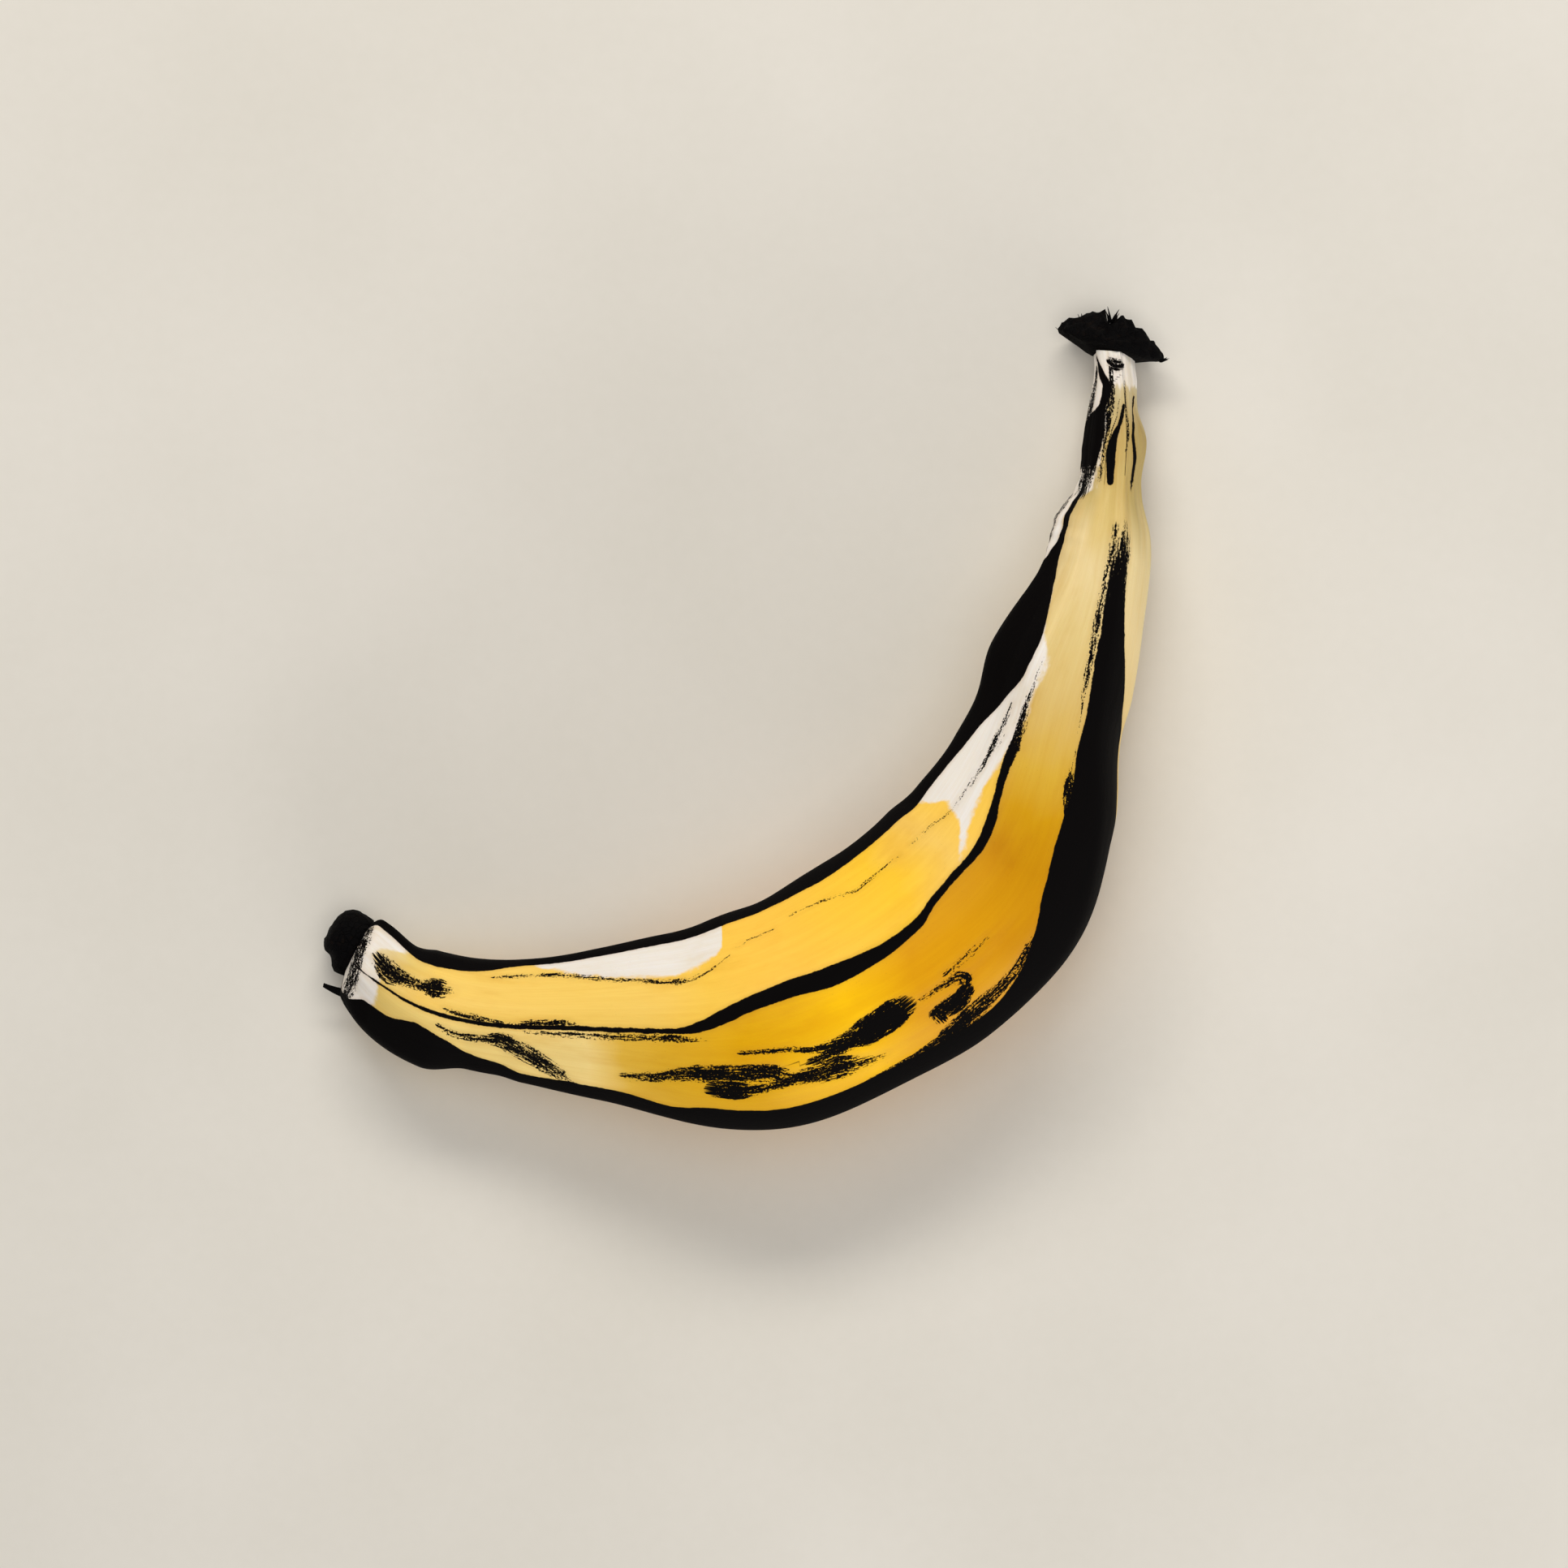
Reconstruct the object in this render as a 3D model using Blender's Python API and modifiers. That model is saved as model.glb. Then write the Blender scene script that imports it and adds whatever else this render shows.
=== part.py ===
"""A ripe banana lying on its side on a table. Metres, +Z up.

A banana grows as one piece, so the fruit is one solid: the dried blossom end, the
five-ridged body, the neck, the stem and the crown that tore from the bunch. Its axis
bends in plan, from the blossom end at -X round to the crown at +Y. The origin is the
middle of the fruit's footprint, on the table.
"""

import math

import bmesh
import bpy
import numpy as np
from mathutils import Matrix, Vector

NAME = "banana"

# Lengths of the fruit's runs, measured along its axis from the blossom end.
NUB_LENGTH = 0.005
TAPER_LENGTH = 0.033
SLIM_LENGTH = 0.020
BELLY_LENGTH = 0.068
UPPER_LENGTH = 0.043
NECK_LENGTH = 0.024
STEM_LENGTH = 0.010
CROWN_LENGTH = 0.0065

# Widths are seen from above, across the axis. Thicknesses stand upright.
NUB_WIDTH = 0.0098
NUB_THICKNESS = 0.0096
SHOULDER_WIDTH = 0.0142
SHOULDER_THICKNESS = 0.0140
SLIM_WIDTH = 0.0207
SLIM_THICKNESS = 0.0225
BELLY_WIDTH = 0.0378
BELLY_THICKNESS = 0.0355
NECK_WIDTH = 0.0176
NECK_THICKNESS = 0.0178
STEM_WIDTH = 0.0093
STEM_THICKNESS = 0.0102
STEM_END_WIDTH = 0.0067
STEM_END_THICKNESS = 0.0082
CROWN_WIDTH = 0.0172
CROWN_THICKNESS = 0.0112

# The fruit lies on its belly, on the taper by the blossom end and on the crown's rim.
# Its weight presses flat what is set below the table: a broad patch under the belly, and
# a small one at the other two. Smoothing draws the short crown in, so it is set deeper.
REST_DEPTH = 0.0005
BLOSSOM_TOUCH_DEPTH = 0.00015
CROWN_TOUCH_DEPTH = 0.0009

# Clear heights under the blossom end, the neck and the stem.
BLOSSOM_GAP = 0.0006
NECK_GAP = 0.0033
STEM_GAP = 0.0031

# Five ridges run along the skin. Angles go from the outside of the bend, over the top.
RIDGE_ANGLES = (25, 97, 169, 235, 307)
RIDGE_RELIEF = 0.085
RIDGE_EDGE = 1.7
POINTS_PER_FACET = 4

# The torn crown leans from square to the stem by this angle, in degrees.
CROWN_LEAN = -26

RING_SPACING = 0.0080
AXIS_STEP = 0.0005
SUBDIVISIONS = 1

SHOULDER = NUB_LENGTH
SLIM = SHOULDER + TAPER_LENGTH
BELLY_START = SLIM + SLIM_LENGTH
BELLY_END = BELLY_START + BELLY_LENGTH
NECK = BELLY_END + UPPER_LENGTH
STEM = NECK + NECK_LENGTH
STEM_END = STEM + STEM_LENGTH
CROWN_END = STEM_END + CROWN_LENGTH

# Sections across the axis: the place along it, the width and the thickness.
SECTIONS = (
    (0.0, 0.62 * NUB_WIDTH, 0.62 * NUB_THICKNESS),
    (0.25 * NUB_LENGTH, 0.90 * NUB_WIDTH, 0.90 * NUB_THICKNESS),
    (0.55 * NUB_LENGTH, NUB_WIDTH, NUB_THICKNESS),
    (0.90 * NUB_LENGTH, 1.04 * NUB_WIDTH, 1.04 * NUB_THICKNESS),
    (SHOULDER + 0.05 * TAPER_LENGTH, SHOULDER_WIDTH, SHOULDER_THICKNESS),
    (SHOULDER + 0.20 * TAPER_LENGTH, 0.0157, 0.0160),
    (SHOULDER + 0.50 * TAPER_LENGTH, 0.0180, 0.0190),
    (SLIM, SLIM_WIDTH, SLIM_THICKNESS),
    (SLIM + 0.50 * SLIM_LENGTH, 0.0245, 0.0258),
    (BELLY_START, 0.0292, 0.0292),
    (BELLY_START + 0.26 * BELLY_LENGTH, 0.0362, 0.0342),
    (BELLY_START + 0.60 * BELLY_LENGTH, BELLY_WIDTH, BELLY_THICKNESS),
    (BELLY_START + 0.82 * BELLY_LENGTH, 0.0370, 0.0348),
    (BELLY_END, 0.0330, 0.0320),
    (BELLY_END + 0.35 * UPPER_LENGTH, 0.0260, 0.0275),
    (BELLY_END + 0.60 * UPPER_LENGTH, 0.0242, 0.0246),
    (NECK, NECK_WIDTH, NECK_THICKNESS),
    (NECK + 0.30 * NECK_LENGTH, 0.0152, 0.0152),
    (NECK + 0.55 * NECK_LENGTH, 0.0116, 0.0126),
    (STEM, STEM_WIDTH, STEM_THICKNESS),
    (STEM_END, STEM_END_WIDTH, STEM_END_THICKNESS),
    (STEM_END + 0.18 * CROWN_LENGTH, 0.86 * CROWN_WIDTH, 0.92 * CROWN_THICKNESS),
    (STEM_END + 0.50 * CROWN_LENGTH, CROWN_WIDTH, CROWN_THICKNESS),
    (STEM_END + 0.82 * CROWN_LENGTH, 0.92 * CROWN_WIDTH, 0.96 * CROWN_THICKNESS),
    (CROWN_END, 0.70 * CROWN_WIDTH, 0.80 * CROWN_THICKNESS),
)
WIDTHS = [(place, width) for place, width, _ in SECTIONS]
THICKNESSES = [(place, thickness) for place, _, thickness in SECTIONS]

# Where the axis heads, in degrees from +X towards +Y.
HEADINGS = (
    (0.0, -33),
    (SHOULDER, -38),
    (SHOULDER + 0.20 * TAPER_LENGTH, -43),
    (SHOULDER + 0.50 * TAPER_LENGTH, -19),
    (SLIM, -2),
    (BELLY_START, -2),
    (BELLY_START + 0.26 * BELLY_LENGTH, 16),
    (BELLY_START + 0.53 * BELLY_LENGTH, 31),
    (BELLY_START + 0.80 * BELLY_LENGTH, 46),
    (BELLY_END, 66),
    (BELLY_END + 0.33 * UPPER_LENGTH, 75),
    (BELLY_END + 0.70 * UPPER_LENGTH, 69),
    (NECK, 76),
    (NECK + 0.50 * NECK_LENGTH, 84),
    (STEM, 87),
    (STEM_END, 95),
    (CROWN_END, 102),
)

# Clear height under the fruit. Where it is negative, the table presses the skin flat.
GAPS = (
    (0.0, BLOSSOM_GAP),
    (SHOULDER, 0.7 * BLOSSOM_GAP),
    (SHOULDER + 0.20 * TAPER_LENGTH, -BLOSSOM_TOUCH_DEPTH),
    (SHOULDER + 0.50 * TAPER_LENGTH, 0.0003),
    (SLIM, 0.0010),
    (BELLY_START, 0.0006),
    (BELLY_START + 0.26 * BELLY_LENGTH, -REST_DEPTH),
    (BELLY_START + 0.82 * BELLY_LENGTH, -REST_DEPTH),
    (BELLY_END, 0.0004),
    (BELLY_END + 0.35 * UPPER_LENGTH, 0.0011),
    (NECK, NECK_GAP),
    (STEM, STEM_GAP),
    (STEM_END, 0.8 * STEM_GAP),
    (STEM_END + 0.18 * CROWN_LENGTH, 0.3 * STEM_GAP),
    (STEM_END + 0.50 * CROWN_LENGTH, -CROWN_TOUCH_DEPTH),
    (CROWN_END, 0.0005),
)

# How strongly the ridges stand out.
RIDGE_STRENGTHS = (
    (0.0, 0.0),
    (SHOULDER, 0.2),
    (SHOULDER + 0.30 * TAPER_LENGTH, 0.8),
    (SLIM, 1.0),
    (NECK, 0.9),
    (STEM, 0.4),
    (CROWN_END, 0.2),
)

# How far the ridges turn about the axis, in degrees.
RIDGE_TURNS = (
    (0.0, -10),
    (SLIM, -9),
    (BELLY_START, -7),
    (BELLY_START + 0.40 * BELLY_LENGTH, 3),
    (BELLY_END, 8),
    (NECK, 14),
    (CROWN_END, 16),
)

# How far a section leans from square to the axis, in degrees.
LEANS = (
    (0.0, 0),
    (STEM_END - 0.20 * STEM_LENGTH, 0),
    (STEM_END + 0.18 * CROWN_LENGTH, CROWN_LEAN),
    (CROWN_END, CROWN_LEAN),
)

SKIN_COLOUR = (0.92, 0.56, 0.07, 1.0)
SKIN_ROUGHNESS = 0.42


def clear_scene():
    for thing in list(bpy.data.objects):
        bpy.data.objects.remove(thing)


def new_collection(name):
    collection = bpy.data.collections.new(name)
    bpy.context.scene.collection.children.link(collection)
    return collection


def smooth_between(rows, where):
    """Values at the places in where, on a curve through the rows that never overshoots them."""
    places, values = np.array(rows, float).T
    steps = np.diff(places)
    slopes = np.diff(values) / steps
    tangents = np.zeros(len(values))
    for i in range(1, len(values) - 1):
        before, after = slopes[i - 1], slopes[i]
        if before * after > 0:
            tangents[i] = 2 * before * after / (before + after)
    tangents[0] = slopes[0]
    tangents[-1] = slopes[-1]
    where = np.asarray(where, float)
    span = np.clip(np.searchsorted(places, where, side="right") - 1, 0, len(steps) - 1)
    t = (where - places[span]) / steps[span]
    rise = values[span + 1] - values[span]
    lead_in = steps[span] * tangents[span]
    lead_out = steps[span] * tangents[span + 1]
    return (
        values[span]
        + rise * t**2 * (3 - 2 * t)
        + lead_in * t * (1 - t) ** 2
        - lead_out * t**2 * (1 - t)
    )


def ring_places():
    """Places along the axis for the cage's rings: every section, and evenly between them."""
    rows = [place for place, _ in WIDTHS]
    places = [rows[0]]
    for start, end in zip(rows, rows[1:]):
        pieces = math.ceil((end - start) / RING_SPACING)
        for piece in range(1, pieces + 1):
            places.append(start + (end - start) * piece / pieces)
    return np.array(places)


def axis_plan(places):
    """X and Y of the axis at the places, following its heading in short steps."""
    fine = np.arange(0.0, CROWN_END + AXIS_STEP, AXIS_STEP)
    heading = np.radians(smooth_between(HEADINGS, np.minimum(fine, CROWN_END)))
    middle = (heading[1:] + heading[:-1]) / 2
    x = np.concatenate([[0.0], np.cumsum(np.cos(middle))]) * AXIS_STEP
    y = np.concatenate([[0.0], np.cumsum(np.sin(middle))]) * AXIS_STEP
    return np.interp(places, fine, x), np.interp(places, fine, y)


def section_outline(width, thickness, strength, turn):
    """(outwards, upwards) points of one section, scaled to its width and thickness."""
    points = []
    for ridge, angle in enumerate(RIDGE_ANGLES):
        next_angle = RIDGE_ANGLES[(ridge + 1) % len(RIDGE_ANGLES)]
        facet = (next_angle - angle) % 360
        for step in range(POINTS_PER_FACET):
            share = step / POINTS_PER_FACET
            sunk = 1 - abs(2 * share - 1) ** RIDGE_EDGE
            radius = 1 - RIDGE_RELIEF * strength * sunk
            direction = math.radians(angle + facet * share + turn)
            points.append((radius * math.cos(direction), radius * math.sin(direction)))
    points = np.array(points)
    low, high = points.min(axis=0), points.max(axis=0)
    return (points - (low + high) / 2) / (high - low) * (width, thickness)


def cage_rings():
    """The cage's rings of points, from the blossom end to the crown."""
    places = ring_places()
    x, y = axis_plan(places)
    heading = smooth_between(HEADINGS, places)
    width = smooth_between(WIDTHS, places)
    thickness = smooth_between(THICKNESSES, places)
    gap = smooth_between(GAPS, places)
    strength = smooth_between(RIDGE_STRENGTHS, places)
    turn = smooth_between(RIDGE_TURNS, places)
    lean = smooth_between(LEANS, places)
    # Subdividing draws a ring of this many points in by this share.
    points_round = len(RIDGE_ANGLES) * POINTS_PER_FACET
    swell = 4 / (3 + math.cos(2 * math.pi / points_round))
    rings = []
    for i in range(len(places)):
        facing = math.radians(heading[i] + lean[i])
        outwards = Vector((math.sin(facing), -math.cos(facing), 0.0))
        middle = Vector((x[i], y[i], gap[i] + thickness[i] / 2))
        outline = section_outline(width[i], thickness[i], strength[i], turn[i]) * swell
        rings.append([middle + outwards * u + Vector((0.0, 0.0, v)) for u, v in outline])
    return rings


def skin_material():
    material = bpy.data.materials.new("banana_skin")
    material.use_nodes = True
    shader = material.node_tree.nodes["Principled BSDF"]
    shader.inputs["Base Color"].default_value = SKIN_COLOUR
    shader.inputs["Roughness"].default_value = SKIN_ROUGHNESS
    shader.inputs["Metallic"].default_value = 0.0
    return material


def rest_cutter(fruit, collection):
    """A block under the table's surface, which presses the belly flat."""
    size = 4 * max(fruit.dimensions)
    bpy.ops.mesh.primitive_cube_add(size=size, location=(0.0, 0.0, -size / 2))
    cutter = bpy.context.object
    cutter.name = "table_block"
    cutter.hide_render = True
    cutter.display_type = "WIRE"
    for home in list(cutter.users_collection):
        home.objects.unlink(cutter)
    collection.objects.link(cutter)
    return cutter


def lofted_cage(rings):
    """A closed cage, made by extruding a round face from ring to ring."""
    cage = bmesh.new()
    bmesh.ops.create_circle(cage, cap_ends=True, radius=1.0, segments=len(rings[0]))
    cap = cage.faces[:]
    for corner, point in zip(cap[0].verts, rings[0]):
        corner.co = point
    for ring in rings[1:]:
        cap = bmesh.ops.extrude_discrete_faces(cage, faces=cap)["faces"]
        for corner, point in zip(cap[0].verts, ring):
            corner.co = point
    bmesh.ops.holes_fill(cage, edges=cage.edges[:], sides=len(rings[0]))
    bmesh.ops.recalc_face_normals(cage, faces=cage.faces[:])
    return cage


def centre_on_origin(fruit):
    """Moves the mesh so that the middle of its footprint is over the origin."""
    smoothed = fruit.evaluated_get(bpy.context.evaluated_depsgraph_get())
    corners = np.array([vertex.co for vertex in smoothed.data.vertices])
    middle = (corners.min(axis=0) + corners.max(axis=0)) / 2
    fruit.data.transform(Matrix.Translation((-middle[0], -middle[1], 0.0)))


def main():
    clear_scene()
    parts = new_collection(NAME)
    cutters = new_collection("cutters")
    cutters.hide_render = True
    mesh = bpy.data.meshes.new(NAME)
    cage = lofted_cage(cage_rings())
    cage.to_mesh(mesh)
    cage.free()
    mesh.shade_smooth()
    mesh.materials.append(skin_material())
    fruit = bpy.data.objects.new(NAME, mesh)
    parts.objects.link(fruit)
    smooth = fruit.modifiers.new("smooth_skin", "SUBSURF")
    smooth.levels = SUBDIVISIONS
    smooth.render_levels = SUBDIVISIONS
    centre_on_origin(fruit)
    press = fruit.modifiers.new("resting_flat", "BOOLEAN")
    press.operation = "DIFFERENCE"
    press.object = rest_cutter(fruit, cutters)


main()
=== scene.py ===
# %% [markdown]
# # A ripe banana with blackened ridges
#
# This lesson dresses one banana for its portrait. The fruit's size and place are already
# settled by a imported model, the frame, so nothing is fitted by eye: every new piece is
# made in metres in the frame's own space. The skin is one fine mesh, and the dried
# blossom end, the torn crown and its loose fibres are small pieces of their own.

# %% Load the frame and keep its box
import math
import random

import bmesh
import bpy
import numpy as np
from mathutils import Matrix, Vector, noise


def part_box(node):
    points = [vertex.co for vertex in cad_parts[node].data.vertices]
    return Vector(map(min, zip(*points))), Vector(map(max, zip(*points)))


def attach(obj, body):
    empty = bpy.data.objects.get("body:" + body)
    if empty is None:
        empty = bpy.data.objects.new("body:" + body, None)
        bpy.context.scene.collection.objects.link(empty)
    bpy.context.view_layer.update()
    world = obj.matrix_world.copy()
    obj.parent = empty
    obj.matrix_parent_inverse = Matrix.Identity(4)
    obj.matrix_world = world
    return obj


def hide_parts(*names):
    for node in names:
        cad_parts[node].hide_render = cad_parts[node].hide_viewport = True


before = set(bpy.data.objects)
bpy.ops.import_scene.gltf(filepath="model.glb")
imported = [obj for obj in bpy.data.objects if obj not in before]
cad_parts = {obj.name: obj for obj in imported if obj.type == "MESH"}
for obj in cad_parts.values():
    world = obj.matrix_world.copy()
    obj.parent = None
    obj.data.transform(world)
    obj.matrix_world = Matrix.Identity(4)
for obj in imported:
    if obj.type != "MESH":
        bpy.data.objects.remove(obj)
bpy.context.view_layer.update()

MM = 0.001
fruit_low, fruit_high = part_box("banana")
fruit_middle = (fruit_low + fruit_high) / 2

# %% [markdown]
# ## The camera
#
# The fruit lies on its side and is seen from straight above. A camera that isn't turned
# looks down -Z with +Y at the top of its image, so it only has to be placed. A very long
# lens, held well back, keeps the outline almost free of perspective, as a copy stand does.

# %% Hang the camera over the fruit
LENS_MM = 300.0
SENSOR_MM = 36.0
SEEN_WIDTH = 0.2512
# How far the aim is from the middle of the fruit's own box.
AIM_OFFSET = Vector((0.0069, -0.0096))

camera_data = bpy.data.cameras.new("copy_stand")
camera_data.lens = LENS_MM
camera_data.sensor_width = SENSOR_MM
camera = bpy.data.objects.new("copy_stand", camera_data)
drop = SEEN_WIDTH * LENS_MM / SENSOR_MM
camera.location = (
    fruit_middle.x + AIM_OFFSET.x,
    fruit_middle.y + AIM_OFFSET.y,
    fruit_middle.z + drop,
)
bpy.context.scene.collection.objects.link(camera)
bpy.context.scene.camera = camera
print("The camera hangs at", [round(value, 3) for value in camera.location])

# %% [markdown]
# ## Light and colour
#
# Soft daylight from one big window and a pale room is what shows a fruit's colour best.
# A wide area light stands beyond the fruit, so the shadow is a broad soft pool on the
# near side, and a light overhead and a pale world fill the rest. A low reflector on the
# near side lifts the shaded flank without much light on the table. The Standard view
# keeps the yellows as strong as the materials say. The default view would grey them.

# %% Stand the lights round the table
bpy.context.scene.view_settings.view_transform = "Standard"


def softbox(name, place, sides, watts, colour):
    """An oblong area light at a place, turned to face the fruit."""
    data = bpy.data.lights.new(name, "AREA")
    data.shape = "RECTANGLE"
    data.size, data.size_y = sides
    data.energy = watts
    data.color = colour
    light = bpy.data.objects.new(name, data)
    light.location = fruit_middle + Vector(place)
    light.rotation_euler = (-Vector(place)).to_track_quat("-Z", "Y").to_euler()
    light.visible_camera = False
    bpy.context.scene.collection.objects.link(light)


# Each light's place from the middle of the fruit, its sides, its watts and its colour.
softbox("window", (-0.06, 0.70, 0.66), (0.80, 0.20), 6.0, (1.0, 0.985, 0.96))
softbox("ceiling", (0.05, -0.05, 1.10), (0.90, 0.90), 4.4, (1.0, 0.99, 0.98))
softbox("reflector", (0.38, -0.66, 0.17), (1.00, 0.22), 3.9, (0.97, 0.98, 1.0))

world = bpy.data.worlds.new("pale_room")
world.use_nodes = True
room = world.node_tree.nodes["Background"]
room.inputs["Color"].default_value = (0.84, 0.89, 1.0, 1.0)
room.inputs["Strength"].default_value = 0.30
bpy.context.scene.world = world
print("Lights:", [light.name for light in bpy.data.lights])

# %% [markdown]
# ## Small helpers for shader nodes
#
# A procedural material is a chain of nodes, and writing one out takes four lines a node.
# These helpers make each node a single call: an input that is given a socket is linked,
# and one that is given a number or a colour is set. Colours are written as the usual hex
# codes, and are turned to the linear values that a renderer works in.

# %% Colours, and one node in one call


def linear(code):
    """A linear colour with alpha, from a hex code such as f6ca60."""
    shares = [int(code[at : at + 2], 16) / 255 for at in (0, 2, 4)]
    return [c / 12.92 if c <= 0.04045 else ((c + 0.055) / 1.055) ** 2.4 for c in shares] + [1.0]


def feed(tree, made, inputs):
    """Sets a node's inputs to plain values, and links those that are given a socket."""
    for socket, value in dict(inputs).items():
        if isinstance(value, bpy.types.NodeSocket):
            tree.links.new(value, made.inputs[socket])
        else:
            made.inputs[socket].default_value = value


def node(tree, kind, inputs=(), **settings):
    """A shader node with its settings made and its inputs fed."""
    made = tree.nodes.new("ShaderNode" + kind)
    for name, value in settings.items():
        setattr(made, name, value)
    feed(tree, made, inputs)
    return made


# %% Arithmetic, mixing and patterns


def maths(tree, operation, first, second=0.0, third=0.0):
    """The result of one Math node."""
    return node(tree, "Math", {0: first, 1: second, 2: third}, operation=operation).outputs[0]


def weighed(tree, first, second, share):
    """A weighted mean of two values, where share is the weight of the first."""
    return maths(tree, "MULTIPLY_ADD", first, share, maths(tree, "MULTIPLY", second, 1 - share))


def wander(tree, value, by, reach):
    """A value that noise round 0.5 pushes up and down, by up to half of reach."""
    return maths(tree, "MULTIPLY_ADD", maths(tree, "SUBTRACT", by, 0.5), reach, value)


def remap(tree, value, low, high, new_low=0.0, new_high=1.0):
    """A value eased from one span to another, held at its ends."""
    inputs = {"Value": value, 1: low, 2: high, 3: new_low, 4: new_high}
    return node(tree, "MapRange", inputs, interpolation_type="SMOOTHSTEP").outputs["Result"]


# The Mix node has sockets of one name for each kind of value. These are the colour ones.
MIX_SHARE, MIX_FIRST, MIX_SECOND, MIX_RESULT = 0, 6, 7, 2


def mix_colours(tree, share, first, second, blend="MIX"):
    """Two colours mixed by a share from 0 to 1."""
    inputs = {MIX_SHARE: share, MIX_FIRST: first, MIX_SECOND: second}
    return node(tree, "Mix", inputs, data_type="RGBA", blend_type=blend).outputs[MIX_RESULT]


def noise_value(tree, place, scale, detail=2.0, roughness=0.5):
    """Smooth noise round 0.5 at a place, with scale lumps to the unit."""
    inputs = {"Vector": place, "Scale": scale, "Detail": detail, "Roughness": roughness}
    return node(tree, "TexNoise", inputs).outputs["Fac"]


def stretch(tree, place, scale):
    """A place scaled by a different amount each way."""
    return node(tree, "VectorMath", {0: place, 1: scale}, operation="MULTIPLY").outputs[0]


def stored(tree, name, output="Vector"):
    """A value that is stored on the mesh's points."""
    return node(tree, "Attribute", attribute_name=name).outputs[output]


def parts(tree, vector):
    """The three parts of a vector."""
    return node(tree, "SeparateXYZ", {0: vector}).outputs


def ramp(tree, value, stops):
    """A colour ramp through (position, hex code) stops."""
    made = node(tree, "ValToRGB", {"Fac": value})
    points = made.color_ramp.elements
    while len(points) < len(stops):
        points.new(1.0)
    for point, (position, code) in zip(points, stops):
        point.position = position
        point.color = linear(code)
    return made.outputs["Color"]


# %% Groups and materials


def new_group(name, inputs, outputs):
    """An empty shader node group with its named sockets: (tree, its inputs, its output node)."""
    tree = bpy.data.node_groups.new(name, "ShaderNodeTree")
    for direction, sockets in (("INPUT", inputs), ("OUTPUT", outputs)):
        for socket, kind in sockets:
            tree.interface.new_socket(socket, in_out=direction, socket_type="NodeSocket" + kind)
    start = tree.nodes.new("NodeGroupInput")
    end = tree.nodes.new("NodeGroupOutput")
    return tree, start.outputs, end


def place_group(tree, group, inputs):
    """The outputs of a copy of a node group, with its inputs fed."""
    return node(tree, "Group", inputs, node_tree=group).outputs


def new_material(name):
    """A node material: (material, its tree, its Principled shader)."""
    material = bpy.data.materials.new(name)
    material.use_nodes = True
    return material, material.node_tree, material.node_tree.nodes["Principled BSDF"]


# %% [markdown]
# ## The table
#
# Only a pale surface to lie on: a big grid. Its tone drifts a little, like laid paper, so
# it doesn't look empty.

# %% Lay the table
TABLE_HALF_SIDE = 3.0
# A hair below the fruit, so that the two don't share a plane.
TABLE_DROP = 0.00003
DRIFT_SCALE = 14.0
FLECK_SCALE = 420.0


def make_object(shape, name, material):
    """Turns a bmesh into an object of the scene, with its material."""
    mesh = bpy.data.meshes.new(name)
    shape.to_mesh(mesh)
    shape.free()
    mesh.materials.append(material)
    made = bpy.data.objects.new(name, mesh)
    bpy.context.scene.collection.objects.link(made)
    return made


paper, tree, shader = new_material("pale_table")
table_place = node(tree, "TexCoord").outputs["Object"]
drift = noise_value(tree, table_place, DRIFT_SCALE, 3.0)
fleck = noise_value(tree, table_place, FLECK_SCALE)
paper_tone = weighed(tree, fleck, drift, 0.15)
paper_colour = ramp(tree, paper_tone, ((0.30, "d6cfc1"), (0.70, "ded7ca")))
feed(tree, shader, {"Base Color": paper_colour, "Roughness": 0.85, "Specular IOR Level": 0.15})

sheet = bmesh.new()
bmesh.ops.create_grid(sheet, x_segments=1, y_segments=1, size=TABLE_HALF_SIDE)
bmesh.ops.translate(sheet, verts=sheet.verts, vec=(0.0, 0.0, -TABLE_DROP))
table = make_object(sheet, "table", paper)
print("The table is", 2 * TABLE_HALF_SIDE, "m on a side")

# %% [markdown]
# ## The fruit's own measures
#
# The frame was designed as rings across a bent middle line. The same measures are given
# again here, because the fine skin is laid along the same line: how wide and thick the
# fruit is at each place, where its middle line heads, and how far it clears the table.

# %% Measures along the fruit, in metres and degrees
NUB_LENGTH = 0.005
TAPER_LENGTH = 0.033
SLIM_LENGTH = 0.020
BELLY_LENGTH = 0.068
UPPER_LENGTH = 0.043
NECK_LENGTH = 0.024
STEM_LENGTH = 0.010
CROWN_LENGTH = 0.0065

SHOULDER = NUB_LENGTH
SLIM = SHOULDER + TAPER_LENGTH
BELLY = SLIM + SLIM_LENGTH
BELLY_END = BELLY + BELLY_LENGTH
NECK = BELLY_END + UPPER_LENGTH
STEM = NECK + NECK_LENGTH
STEM_END = STEM + STEM_LENGTH
CROWN_END = STEM_END + CROWN_LENGTH

CROWN_WIDTH = 0.0172
CROWN_THICKNESS = 0.0112
CROWN_LEAN = -24

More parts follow.
